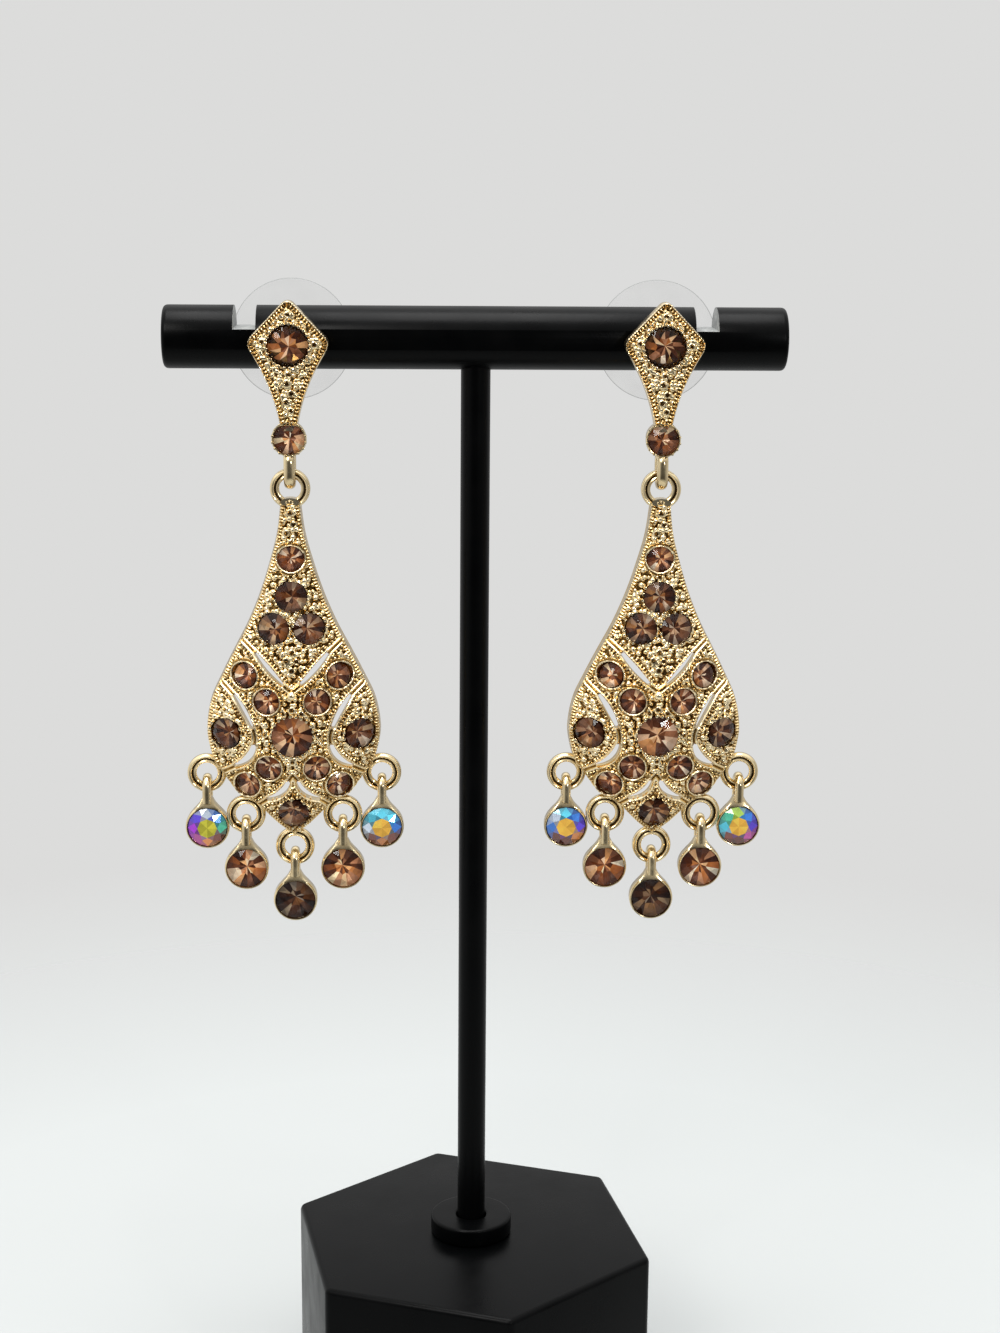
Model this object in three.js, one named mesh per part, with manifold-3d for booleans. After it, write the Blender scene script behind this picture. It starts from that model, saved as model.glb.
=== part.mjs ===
// A pair of chandelier earrings on their T-bar stand. Millimetres, +Z up, +X along the crossbar,
// front of the earrings facing -Y, origin at the middle of the base's underside.
import * as THREE from "three";
import { mergeVertices } from "three/addons/utils/BufferGeometryUtils.js";
import Module from "manifold-3d";

const wasm = await Module();
wasm.setup();

// ---------------------------------------------------------------- driving dimensions
const GAP = 0.06; // clearance between pieces that touch on the real thing

// stand
const BASE = { radius: 20.36, height: 20, turn: -19.84, chamfer: 0.6, socket: 6 };
const COLLAR = { radius: 4.4, height: 2 };
const POST = { radius: 1.5, fit: 0.25 };
const BAR = { radius: 3.175, length: 62.6, axis: BASE.height + 97.8, rounding: 0.5, socket: 2.2 };
const NOTCH = { x: 23.07, width: 2.25, floor: 0.98 };
const PIN_HOLE_RADIUS = 1;

// earrings: heights are below (-) or above (+) the crossbar's axis
const EARRING_X = 18.65;
const PIN = { radius: 0.4, height: -0.5, front: -3.95, back: 6.05, taper: 0.3, tip: 0.2 };
const CLUTCH = { radius: 6.15, front: 3.5, thickness: 0.7, hubRadius: 1.5, hubBack: 6.2 };
const KITE = { back: -3.45, front: -4.95, top: 3.95, wide: 3.97, widest: -0.22, bottom: -8.4 };
const NECK_SETTING = { height: -9.67, radius: 1.74, stone: 1.54, front: -5.1, back: -2.65 };
const LOOP = { inner: 0.7, wire: 0.9, width: 1.15 };
const HANG = { y: -3.75, height: -13.23 }; // the swing axis: the middle of the drop ring's top wire
const RING = { middle: 1.53, wire: 0.5 }; // every ring: radius of its middle line, radius of its wire
const STONE = { large: 2.1, medium: 1.6, small: 1.27 }; // girdle radii
const STUD_STONE_HEIGHT = -0.47;
const SEAT_ROOM = 0.12; // a seat's radius over its stone's
const SEAT_DEPTH = 0.5; // of the seats in the domed plate
const FRONT_SEAT_DEPTH = 0.6; // of the seats in the stud and the cups
const SEAT_CUT = 4; // how far a seat's cutter reaches out past the front
const CUT = { girdle: 0.42, table: 0.9, tableShare: 0.55 }; // a stone's heights, and its table's width
const SETTING_ROOM = { neck: 0.08, cup: 0.06 }; // the same room as SEAT_ROOM, in the small settings

// drop plate: a domed openwork casting that hangs from one ring
const WALL = 1.3; // thickness along Y
const DOME = 0.38; // crest of the dome over half its width
const LEAN = 0.06; // the plate leans back until its weight is under its ring
const PLATE_TIP = -51.2;
const WIDEST = { height: -39.8, half: 8.97, reach: 11.9 }; // reach: of the dome below its widest place
const PLATE_WIDTHS = [
  { height: -15.9, half: 1.0 },
  { height: -19.4, half: 1.45 },
  { height: -22.5, half: 2.27 },
  { height: -25.6, half: 3.27 },
  { height: -28.7, half: 4.56 },
  { height: -31.6, half: 6.05 },
  { height: -34.2, half: 7.34 },
  { height: -36.7, half: 8.45 },
  { height: -39.8, half: 8.97 },
  { height: -42.0, half: 8.68 },
  { height: -43.7, half: 8.15 },
];
// slots of the right half, each along a curve from start past bend to end
const SLOTS = [
  { start: [3.65, -31.5], bend: [2.35, -33.1], end: [0.95, -34.5], width: 0.62 },
  { start: [5.95, -35.9], bend: [4.85, -37.2], end: [4.1, -39.1], width: 0.55 },
  { start: [3.95, -41.0], bend: [4.35, -42.7], end: [5.95, -43.45], width: 0.72 },
  { start: [0.5, -44.85], bend: [0.95, -46.3], end: [2.6, -46.85], width: 0.68 },
];
const PLATE_STONES = [
  { name: "row_stone", x: 0, height: -25.65, radius: STONE.medium },
  { name: "pair_stone_left", x: -1.8, height: -28.9, radius: STONE.medium },
  { name: "pair_stone_right", x: 1.8, height: -28.9, radius: STONE.medium },
  { name: "centre_stone", x: 0, height: -39.9, radius: STONE.large },
  { name: "side_stone_left", x: -6.85, height: -40, radius: STONE.medium },
  { name: "side_stone_right", x: 6.85, height: -40, radius: STONE.medium },
  { name: "bottom_stone", x: 0, height: -48.45, radius: STONE.medium },
];
// places of the small stones, which the plate's paved surface holds as low bosses
const SMALL_STONES = [
  { x: 0, height: -21.8 },
  { x: 4.78, height: -33.8 },
  { x: 2.56, height: -36.3 },
  { x: 2.45, height: -43.33 },
  { x: 4.7, height: -45.33 },
];
// rings along the lower edge, one for each small drop; edge is where the ring meets the plate
const EDGE_RINGS = [
  { x: 0, height: -52.5, edge: [0, -51] },
  { x: 5, height: -48.87, edge: [4.4, -47.6] },
  { x: 9.05, height: -44.72, edge: [8.2, -43.7] },
];
const BOSS = { root: 0.5, edge: 0.1, crest: 0.4, flat: 0.7 }; // heights, and the flat's radius
const TRIM = { front: -20, back: 10 }; // the ends of the block that trims the domed wall
const DROP = { length: 5.65, radius: 2.25, front: 1.1, back: 1.05, wire: 0.7, width: 0.78 };

// ---------------------------------------------------------------- materials
const finish = (color, roughness, metalness) =>
  new THREE.MeshStandardMaterial({ color, roughness, metalness });
const gold = finish(0xd9bf86, 0.28, 1);
const smokyStone = finish(0x6b3f2c, 0.08, 0);
const rainbowStone = finish(0x8fb8c8, 0.08, 0);
const clearPlastic = finish(0xdfe3e2, 0.15, 0);
const blackPaint = finish(0x141516, 0.45, 0.2);

// ---------------------------------------------------------------- shapes
const up = new THREE.Vector3(0, 1, 0);
const toFront = new THREE.Vector3(0, -1, 0);
const object = new THREE.Group();

// A closed geometry as a manifold-3d solid, for joins and cuts.
function solid(geometry) {
  const bare = geometry.index ? geometry.toNonIndexed() : geometry.clone();
  bare.deleteAttribute("normal");
  bare.deleteAttribute("uv");
  const merged = mergeVertices(bare, 1e-4);
  const vertProperties = merged.attributes.position.array;
  const triVerts = new Uint32Array(merged.index.array);
  return new wasm.Manifold(new wasm.Mesh({ numProp: 3, vertProperties, triVerts }));
}

// A manifold-3d solid as a geometry.
function geometryOf(body) {
  const mesh = body.getMesh();
  const geometry = new THREE.BufferGeometry();
  geometry.setAttribute("position", new THREE.BufferAttribute(mesh.vertProperties, 3));
  geometry.setIndex(new THREE.BufferAttribute(mesh.triVerts, 1));
  geometry.computeVertexNormals();
  return geometry;
}

function joined(first, ...others) {
  return others.reduce((whole, part) => whole.add(solid(part)), solid(first));
}

function addPiece(name, geometry, material) {
  const mesh = new THREE.Mesh(geometry, material);
  mesh.name = name;
  object.add(mesh);
}

// A turned shape: rows of [radius, height], from the axis back to the axis or closed on itself.
function turned(rows, sides) {
  return new THREE.LatheGeometry(
    rows.map(([radius, height]) => new THREE.Vector2(radius, height)),
    sides,
  );
}

// The same, with its axis along world Z, Y or X.
const turnedZ = (rows, sides) => turned(rows, sides).rotateX(Math.PI / 2);
const turnedX = (rows, sides) => turned(rows, sides).rotateZ(-Math.PI / 2);

function cylinder(radius, low, high, sides) {
  return turned([[0, low], [radius, low], [radius, high], [0, high]], sides);
}

// A flat outline in X and Z, as thick as from y = back to y = front.
function slab(shape, front, back) {
  const depth = back - front;
  return new THREE.ExtrudeGeometry(shape, { depth, bevelEnabled: false, curveSegments: 6 })
    .rotateX(Math.PI / 2)
    .translate(0, back, 0);
}

// A wire bent in the YZ plane round (y, height): a half circle, and straight legs of the given length
// up (side 1) or down (side -1) from it. wire is its thickness in that plane, width its size along X.
function bentWire(x, y, height, inner, wire, width, leg, side) {
  const radius = inner + wire / 2;
  const path = new THREE.CurvePath();
  const at = (dy, dz) => new THREE.Vector3(x, y + dy, height + dz);
  class HalfCircle extends THREE.Curve {
    getPoint(t) {
      const angle = Math.PI * t;
      return at(-radius * Math.cos(angle), -side * radius * Math.sin(angle));
    }
  }
  path.add(new THREE.LineCurve3(at(-radius, side * leg), at(-radius, 0)));
  path.add(new HalfCircle());
  path.add(new THREE.LineCurve3(at(radius, 0), at(radius, side * leg)));
  const section = new THREE.Shape();
  section.absellipse(0, 0, wire / 2, width / 2, 0, 2 * Math.PI);
  return new THREE.ExtrudeGeometry(section, {
    extrudePath: path,
    steps: 10,
    curveSegments: 3,
  });
}

// A ring in the XZ plane.
function ring(x, y, height) {
  return new THREE.TorusGeometry(RING.middle, RING.wire, 6, 14)
    .rotateX(Math.PI / 2)
    .translate(x, y, height);
}

// A cut stone standing on y = 0 with its table up: girdle, crown and table.
function stoneShape(radius) {
  const { girdle, table, tableShare } = CUT;
  return turned([[0, 0], [radius, 0], [radius, girdle], [tableShare * radius, table], [0, table]], 12);
}

// Turns a shape's +Y to the given way out and puts its origin at a place.
function facing(geometry, place, outward) {
  geometry.applyQuaternion(new THREE.Quaternion().setFromUnitVectors(up, outward));
  return geometry.translate(place.x, place.y, place.z);
}

// ---------------------------------------------------------------- the drop plate's form
// Half the plate's width at a height, as a smooth curve through the table.
function halfWidth(height) {
  const rows = PLATE_WIDTHS;
  const last = rows.length - 2;
  const slope = (i) => {
    const [a, b] = [rows[Math.max(i - 1, 0)], rows[Math.min(i + 1, rows.length - 1)]];
    return (b.half - a.half) / (b.height - a.height);
  };
  const next = rows.findIndex((row) => row.height < height);
  const i = next < 0 ? last : Math.min(Math.max(next - 1, 0), last);
  const span = rows[i + 1].height - rows[i].height;
  const t = (height - rows[i].height) / span;
  const ease = t * t * (3 - 2 * t);
  const bend = t * (1 - t) * ((1 - t) * slope(i) - t * slope(i + 1)) * span;
  return rows[i].half + ease * (rows[i + 1].half - rows[i].half) + bend;
}

// Half the width of the dome: the plate's own above its widest place, and an ellipse's below.
function domeHalf(height) {
  if (height > WIDEST.height) return halfWidth(height);
  const t = (WIDEST.height - height) / WIDEST.reach;
  return WIDEST.half * Math.sqrt(Math.max(1 - t * t, 0.01));
}

// The middle of the plate's wall, as a Y.
function wallY(x, height) {
  const half = domeHalf(height);
  const bulge = DOME * (half - (x * x) / half);
  return HANG.y - bulge + LEAN * (HANG.height - height);
}

// The way out of the plate's front at a place.
function wallNormal(x, height) {
  const step = 0.01;
  const slopeX = (wallY(x + step, height) - wallY(x - step, height)) / (2 * step);
  const slopeZ = (wallY(x, height + step) - wallY(x, height - step)) / (2 * step);
  return new THREE.Vector3(slopeX, -1, slopeZ).normalize();
}

const onFront = (x, height) => new THREE.Vector3(x, wallY(x, height) - WALL / 2, height);

// A curved slot with round ends, as a closed path.
function slotPath({ start, bend, end, width }, side) {
  const flip = ([x, height]) => new THREE.Vector2(side * x, height);
  const curve = new THREE.QuadraticBezierCurve(flip(start), flip(bend), flip(end));
  const along = [0, 0.4, 0.8, 1];
  const edge = (t, offset) => {
    const tangent = curve.getTangent(t);
    const place = curve.getPoint(t);
    return new THREE.Vector2(place.x - offset * tangent.y, place.y + offset * tangent.x);
  };
  const cap = (t, way) => {
    const tangent = curve.getTangent(t);
    return curve.getPoint(t).addScaledVector(tangent, (way * width) / 2);
  };
  return new THREE.Path([
    ...along.map((t) => edge(t, width / 2)),
    cap(1, 1),
    ...along.map((t) => edge(1 - t, -width / 2)),
    cap(0, -1),
  ]);
}

// The plate's outline with its slots.
function plateOutline() {
  const top = PLATE_WIDTHS[0].height;
  const corner = PLATE_WIDTHS.at(-1);
  const steps = 14;
  const right = Array.from({ length: steps + 1 }, (_, i) => {
    const height = top + ((corner.height - top) * i) / steps;
    return new THREE.Vector2(halfWidth(height), height);
  });
  right.push(new THREE.Vector2(0.5, PLATE_TIP + 0.25), new THREE.Vector2(0, PLATE_TIP));
  const left = right.slice(0, -1).map((p) => new THREE.Vector2(-p.x, p.y));
  const outline = new THREE.Shape([...left, ...right.reverse()]); // anticlockwise, as its holes need
  outline.holes = [1, -1].flatMap((side) => SLOTS.map((slot) => slotPath(slot, side)));
  return outline;
}

// The domed wall, a little wider than the outline that trims it.
function domedWall() {
  const top = PLATE_WIDTHS[0].height + 0.1;
  const bottom = PLATE_TIP - 0.2;
  const spare = 1.03;
  const wall = new THREE.BoxGeometry(2, WALL, top - bottom, 8, 1, 16);
  wall.translate(0, 0, (top + bottom) / 2);
  const place = wall.attributes.position;
  for (let i = 0; i < place.count; i++) {
    const height = place.getZ(i);
    const x = place.getX(i) * domeHalf(height) * spare;
    place.setXYZ(i, x, wallY(x, height) + place.getY(i), height);
  }
  return wall;
}

// Both places of a row that isn't on the middle line.
const mirrored = (row) => (row.x === 0 ? [row] : [row, { ...row, x: -row.x }]);
const ringY = ({ edge }) => wallY(edge[0], edge[1]);

function smallBoss() {
  const { root, edge, crest, flat } = BOSS;
  const rim = STONE.small;
  return turned([[0, -root], [rim, -root], [rim, edge], [flat, crest], [0, crest]], 8);
}

function dropPlate() {
  const outline = solid(slab(plateOutline(), TRIM.front, TRIM.back));
  let plate = solid(domedWall()).intersect(outline);
  plate = plate.add(solid(ring(0, HANG.y, HANG.height - RING.middle)));
  for (const row of EDGE_RINGS.flatMap(mirrored))
    plate = plate.add(solid(ring(row.x, ringY(row), row.height)));
  for (const { x, height } of SMALL_STONES.flatMap(mirrored)) {
    const boss = solid(facing(smallBoss(), onFront(x, height), wallNormal(x, height)));
    plate = plate.add(boss);
  }
  for (const { x, height, radius } of PLATE_STONES) {
    const seat = cylinder(radius + SEAT_ROOM, -SEAT_DEPTH, SEAT_CUT, 12);
    plate = plate.subtract(solid(facing(seat, onFront(x, height), wallNormal(x, height))));
  }
  return plate;
}

// ---------------------------------------------------------------- the stud and its loop
function kiteOutline() {
  const { top, wide, widest, bottom } = KITE;
  const outline = new THREE.Shape();
  const waist = { half: 1.35, height: widest - 4.4 }; // where the sides curve in to the neck
  const neck = 0.82;
  const near = wide - 0.35; // where the side corners' rounding starts and ends
  outline.moveTo(-0.55, top - 0.25);
  outline.quadraticCurveTo(0, top + 0.15, 0.55, top - 0.25);
  outline.lineTo(near, widest + 0.55);
  outline.quadraticCurveTo(wide + 0.1, widest, near, widest - 0.8);
  outline.quadraticCurveTo(waist.half, waist.height, neck, bottom);
  outline.lineTo(-neck, bottom);
  outline.quadraticCurveTo(-waist.half, waist.height, -near, widest - 0.8);
  outline.quadraticCurveTo(-wide - 0.1, widest, -near, widest + 0.55);
  outline.closePath();
  return outline;
}

function studMount() {
  const kite = slab(kiteOutline(), KITE.front, KITE.back);
  const shoulder = PIN.back - PIN.taper;
  const pinRows = [
    [0, PIN.front],
    [PIN.radius, PIN.front],
    [PIN.radius, shoulder],
    [PIN.tip, PIN.back],
    [0, PIN.back],
  ];
  const pin = turned(pinRows, 10).translate(0, 0, PIN.height);
  const { radius, front, back, height } = NECK_SETTING;
  const setting = turned(
    [[0, front], [radius, front], [radius, back + 0.5], [1.2, back], [0, back]],
    16,
  );
  setting.translate(0, 0, height);
  const leg = height - HANG.height - 0.6;
  const loop = bentWire(0, HANG.y, HANG.height, LOOP.inner, LOOP.wire, LOOP.width, leg, 1);
  const seat = (room, seatFront, seatHeight) =>
    cylinder(room, seatFront - SEAT_CUT, seatFront + FRONT_SEAT_DEPTH, 16).translate(0, 0, seatHeight);
  const studSeat = seat(STONE.large + SEAT_ROOM, KITE.front, STUD_STONE_HEIGHT);
  const neckSeat = seat(NECK_SETTING.stone + SETTING_ROOM.neck, front, height);
  return joined(kite, pin, setting, loop).subtract(solid(studSeat)).subtract(solid(neckSeat));
}

// A stone in a seat that faces straight to the front.
function frontStone(radius, seatFront, height) {
  const floor = { x: 0, y: seatFront + FRONT_SEAT_DEPTH - GAP, z: height };
  return facing(stoneShape(radius), floor, toFront);
}

function clutch() {
  const { radius, front, thickness, hubRadius, hubBack } = CLUTCH;
  const bore = PIN.radius + 0.12;
  const rows = [
    [bore, front],
    [radius, front],
    [radius, front + thickness],
    [hubRadius, front + thickness],
    [hubRadius - 0.3, hubBack],
    [bore, hubBack],
    [bore, front],
  ];
  return turned(rows, 20).translate(0, 0, PIN.height);
}

// ---------------------------------------------------------------- a small drop: cup and link in one
function dropCup({ x, height }, y) {
  const { length, radius, front, back, wire, width } = DROP;
  const cup = turned(
    [[0, -front], [radius, -front], [radius, back - 0.7], [radius - 0.5, back], [0, back]],
    14,
  ).translate(x, y, height - length);
  const linkHeight = height - RING.middle;
  const leg = length - RING.middle - radius + 0.4;
  const link = bentWire(x, y, linkHeight, RING.wire + 0.2, wire, width, leg, -1);
  const seatFloor = FRONT_SEAT_DEPTH - front;
  const seat = cylinder(STONE.large + SETTING_ROOM.cup, seatFloor - SEAT_CUT, seatFloor, 14);
  seat.translate(x, y, height - length);
  return joined(cup, link).subtract(solid(seat));
}

function dropStone({ x, height }, y) {
  const floor = { x, y: y - DROP.front + FRONT_SEAT_DEPTH - GAP, z: height - DROP.length };
  return facing(stoneShape(STONE.large), floor, toFront);
}

// ---------------------------------------------------------------- one earring
function addEarring(side, x) {
  const place = (geometry) => geometry.translate(x, 0, BAR.axis);
  const add = (name, geometry, material) => addPiece(`${side}_${name}`, place(geometry), material);
  const seat = NECK_SETTING;
  add("stud_mount", geometryOf(studMount()), gold);
  add("clutch", clutch(), clearPlastic);
  add("stud_stone", frontStone(STONE.large, KITE.front, STUD_STONE_HEIGHT), smokyStone);
  add("neck_stone", frontStone(seat.stone, seat.front, seat.height), smokyStone);
  add("drop_plate", geometryOf(dropPlate()), gold);
  for (const { name, x: across, height, radius } of PLATE_STONES) {
    const outward = wallNormal(across, height);
    const floor = onFront(across, height).addScaledVector(outward, GAP - SEAT_DEPTH);
    add(name, facing(stoneShape(radius), floor, outward), smokyStone);
  }
  const rings = EDGE_RINGS.flatMap(mirrored).sort((a, b) => a.x - b.x);
  rings.forEach((row, i) => {
    const outer = Math.abs(row.x) === EDGE_RINGS.at(-1).x;
    add(`drop_cup_${i + 1}`, geometryOf(dropCup(row, ringY(row))), gold);
    add(`drop_stone_${i + 1}`, dropStone(row, ringY(row)), outer ? rainbowStone : smokyStone);
  });
}

// ---------------------------------------------------------------- the stand
function baseBlock() {
  const { radius, height, chamfer, socket, turn } = BASE;
  const rows = [
    [0, 0],
    [radius - chamfer, 0],
    [radius, chamfer],
    [radius, height - chamfer],
    [radius - chamfer, height],
    [0, height],
  ];
  const block = turnedZ(rows, 6).rotateZ(THREE.MathUtils.degToRad(turn - 90));
  const hole = cylinder(POST.radius + POST.fit, height - socket, height + 1, 16);
  return solid(block).subtract(solid(hole.rotateX(Math.PI / 2)));
}

function collar() {
  const bore = POST.radius + POST.fit;
  const { radius, height } = COLLAR;
  const rows = [
    [bore, 0],
    [radius, 0],
    [radius, height - 0.4],
    [radius - 0.4, height],
    [bore, height],
    [bore, 0],
  ];
  return turnedZ(rows, 20).translate(0, 0, BASE.height + GAP);
}

function crossbar() {
  const { radius, length, rounding, socket } = BAR;
  const end = length / 2;
  const rows = [
    [0, -end],
    [radius - rounding, -end],
    [radius, rounding - end],
    [radius, end - rounding],
    [radius - rounding, end],
    [0, end],
  ];
  const postHole = cylinder(POST.radius + POST.fit, -radius - 1, socket - radius, 16);
  let body = solid(turnedX(rows, 24)).subtract(solid(postHole.rotateX(Math.PI / 2)));
  for (const side of [-1, 1]) {
    const tall = 2 * radius;
    const notch = new THREE.BoxGeometry(NOTCH.width, 3 * radius, tall);
    body = body.subtract(solid(notch.translate(side * NOTCH.x, 0, NOTCH.floor + tall / 2)));
    const pinHole = cylinder(PIN_HOLE_RADIUS, -2 * radius, 2 * radius, 16);
    body = body.subtract(solid(pinHole.translate(side * EARRING_X, 0, 0)));
  }
  return geometryOf(body).translate(0, 0, BAR.axis);
}

function post() {
  const low = BASE.height - BASE.socket + GAP;
  const high = BAR.axis - BAR.radius + BAR.socket - GAP;
  return cylinder(POST.radius, low, high, 16).rotateX(Math.PI / 2);
}

addPiece("base_block", geometryOf(baseBlock()), blackPaint);
addPiece("base_collar", collar(), blackPaint);
addPiece("upright_post", post(), blackPaint);
addPiece("crossbar", crossbar(), blackPaint);
addEarring("left", -EARRING_X);
addEarring("right", EARRING_X);

export default object;
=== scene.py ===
# A pair of chandelier earrings on a T-bar stand: castings, cut stones, clutches and the stand,
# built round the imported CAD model. Lengths here are millimetres until a mesh is made.
import math

import bpy
import bmesh
import numpy as np
from mathutils import Matrix, Vector
from mathutils.geometry import delaunay_2d_cdt

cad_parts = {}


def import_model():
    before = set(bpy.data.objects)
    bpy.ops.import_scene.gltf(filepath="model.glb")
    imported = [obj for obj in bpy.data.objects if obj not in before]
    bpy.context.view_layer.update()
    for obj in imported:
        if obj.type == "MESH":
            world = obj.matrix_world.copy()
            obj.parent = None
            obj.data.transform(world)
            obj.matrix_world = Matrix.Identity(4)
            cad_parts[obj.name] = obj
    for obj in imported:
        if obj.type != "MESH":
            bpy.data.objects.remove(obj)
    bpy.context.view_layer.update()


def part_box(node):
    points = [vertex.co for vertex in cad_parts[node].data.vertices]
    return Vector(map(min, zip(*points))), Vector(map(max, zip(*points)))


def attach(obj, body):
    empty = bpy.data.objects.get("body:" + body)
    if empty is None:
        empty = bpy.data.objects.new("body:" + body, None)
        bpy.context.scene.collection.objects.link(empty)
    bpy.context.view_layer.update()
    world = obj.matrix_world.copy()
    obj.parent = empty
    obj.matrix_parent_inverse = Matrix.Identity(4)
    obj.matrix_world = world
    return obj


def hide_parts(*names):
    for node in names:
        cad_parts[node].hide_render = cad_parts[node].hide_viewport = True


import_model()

MM = 0.001


# ---------------------------------------------------------------- places from the frame
def box_mm(node):
    return [np.array(corner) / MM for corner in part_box(node)]


BAR_LOW, BAR_HIGH = box_mm("crossbar")
BAR_AXIS = (BAR_LOW[2] + BAR_HIGH[2]) / 2
BAR_RADIUS = (BAR_HIGH[2] - BAR_LOW[2]) / 2
BAR_LENGTH = BAR_HIGH[0] - BAR_LOW[0]
BASE_HEIGHT = box_mm("base_block")[1][2]
COLLAR_LOW, COLLAR_HIGH = box_mm("base_collar")
COLLAR_RADIUS = (COLLAR_HIGH[0] - COLLAR_LOW[0]) / 2
EARRINGS = {side: sum(box_mm(f"{side}_stud_stone"))[0] / 2 for side in ("left", "right")}

# ---------------------------------------------------------------- dimensions, as in the CAD
# heights of an earring's parts are measured from the bar's axis, and y from the middle of the bar
BASE_RADIUS = 20.36
BASE_TURN = -19.84
POST_RADIUS = 1.5
NOTCH = {"x": 23.07, "width": 2.25, "floor": 0.98}
PIN_HOLE_RADIUS = 1.0
PIN = {"radius": 0.4, "height": -0.5, "front": -3.9, "back": 6.05}
CLUTCH = {"radius": 6.15, "front": 3.5, "thickness": 0.7, "hub": 1.5, "hub_back": 6.2}
KITE = {"back": -3.45, "front": -4.95, "top": 3.95, "wide": 3.97, "widest": -0.22, "bottom": -8.4}
SETTING = {"height": -9.67, "radius": 1.74, "stone": 1.54, "front": -5.1, "back": -2.65}
LOOP = {"inner": 0.7, "wire": 0.9, "width": 1.15}
HANG = {"y": -3.75, "height": -13.23}
RING = {"middle": 1.53, "wire": 0.5}
LARGE, MEDIUM, SMALL = 2.1, 1.6, 1.27
STUD_STONE_HEIGHT = -0.47
WALL = 1.3
DOME = 0.38
LEAN = 0.06
PLATE_TIP = -51.2
WIDEST = {"height": -39.8, "half": 8.97, "reach": 11.9}
# rows of (height, half the plate's width)
PLATE_WIDTHS = [
    (-15.9, 1.0), (-19.4, 1.45), (-22.5, 2.27), (-25.6, 3.27), (-28.7, 4.56), (-31.6, 6.05),
    (-34.2, 7.34), (-36.7, 8.45), (-39.8, 8.97), (-42.0, 8.68), (-43.7, 8.15),
]
# slots of the right half: start, bend, end and width; the tails run on as grooves
SLOTS = [
    {"start": (3.65, -31.5), "bend": (2.35, -33.1), "end": (0.95, -34.5), "width": 0.66},
    {"start": (5.95, -35.9), "bend": (4.85, -37.2), "end": (4.1, -39.1), "width": 0.6},
    {"start": (3.95, -41.0), "bend": (4.35, -42.7), "end": (5.95, -43.45), "width": 0.76},
    {"start": (0.5, -44.85), "bend": (0.95, -46.3), "end": (2.6, -46.85), "width": 0.72},
]
# panel borders of the right half, each through the slots on it and out to the plate's edge
BORDERS = [
    [(5.9, -29.6), (3.65, -31.5), (2.4, -33.0), (0.95, -34.5), (0.0, -35.25)],
    [(8.1, -34.0), (5.95, -35.9), (4.95, -37.3), (4.1, -39.1), (3.82, -40.1), (3.95, -41.0),
     (4.6, -42.5), (5.95, -43.45), (8.3, -44.9)],
    [(0.0, -44.1), (0.5, -44.85), (1.2, -46.0), (2.6, -46.85), (4.6, -48.4)],
]
# stones of the plate: name, x, height and girdle radius
PLATE_STONES = [
    ("row_stone", 0.0, -25.65, MEDIUM),
    ("pair_stone_left", -1.8, -28.9, MEDIUM),
    ("pair_stone_right", 1.8, -28.9, MEDIUM),
    ("centre_stone", 0.0, -39.9, LARGE),
    ("side_stone_left", -6.85, -40.0, MEDIUM),
    ("side_stone_right", 6.85, -40.0, MEDIUM),
    ("bottom_stone", 0.0, -48.45, MEDIUM),
]
# small stones of the right half, as (x, height)
SMALL_STONES = [(0.0, -21.8), (4.78, -33.8), (2.56, -36.3), (2.45, -43.33), (4.7, -45.33)]
# rings of the lower edge: x, height and the point of the plate's edge that carries them
EDGE_RINGS = [
    (-9.05, -44.72, (-8.2, -43.7)), (-5.0, -48.87, (-4.4, -47.6)), (0.0, -52.5, (0.0, -51.0)),
    (5.0, -48.87, (4.4, -47.6)), (9.05, -44.72, (8.2, -43.7)),
]
DROP_GEM = 2.03
DROP = {"length": 5.65, "radius": 2.25, "front": 1.1, "back": 1.05}
LINK = {"wire": 0.78, "width": 0.92, "room": 0.14, "foot": 0.35}


# ---------------------------------------------------------------- meshes
class Form:
    """Points and faces in millimetres, gathered before they become one mesh."""

    def __init__(self):
        self.points, self.faces, self.tones, self.slots = [], [], [], []
        self.count = 0

    def add(self, points, faces, tone=1.0, slot=0):
        points = np.asarray(points, float).reshape(-1, 3)
        self.faces += [tuple(int(i) + self.count for i in face) for face in faces]
        self.slots += [slot] * len(faces)
        self.points.append(points)
        self.tones.append(np.broadcast_to(np.asarray(tone, float), (len(points),)))
        self.count += len(points)
        return self

    def moved(self, offset):
        self.points = [points + np.asarray(offset, float) for points in self.points]
        return self

    def turned(self, matrix):
        turn = np.array(matrix.to_3x3())
        self.points = [points @ turn.T for points in self.points]
        return self

    def join(self, other, slot=None):
        """Adds another form, in its own material slots or all in one."""
        self.faces += [tuple(i + self.count for i in face) for face in other.faces]
        self.slots += other.slots if slot is None else [slot] * len(other.faces)
        self.points += other.points
        self.tones += other.tones
        self.count += other.count
        return self


def shade_smooth(mesh, angle):
    mesh.polygons.foreach_set("use_smooth", [True] * len(mesh.polygons))
    mesh.set_sharp_from_angle(angle=math.radians(angle))


def settle(piece, body, replaces=()):
    """Puts a piece in the scene and on its body, and hides the CAD parts it replaces."""
    bpy.context.scene.collection.objects.link(piece)
    bpy.context.view_layer.update()
    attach(piece, body)
    if replaces:
        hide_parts(*replaces)
    return piece


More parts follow.
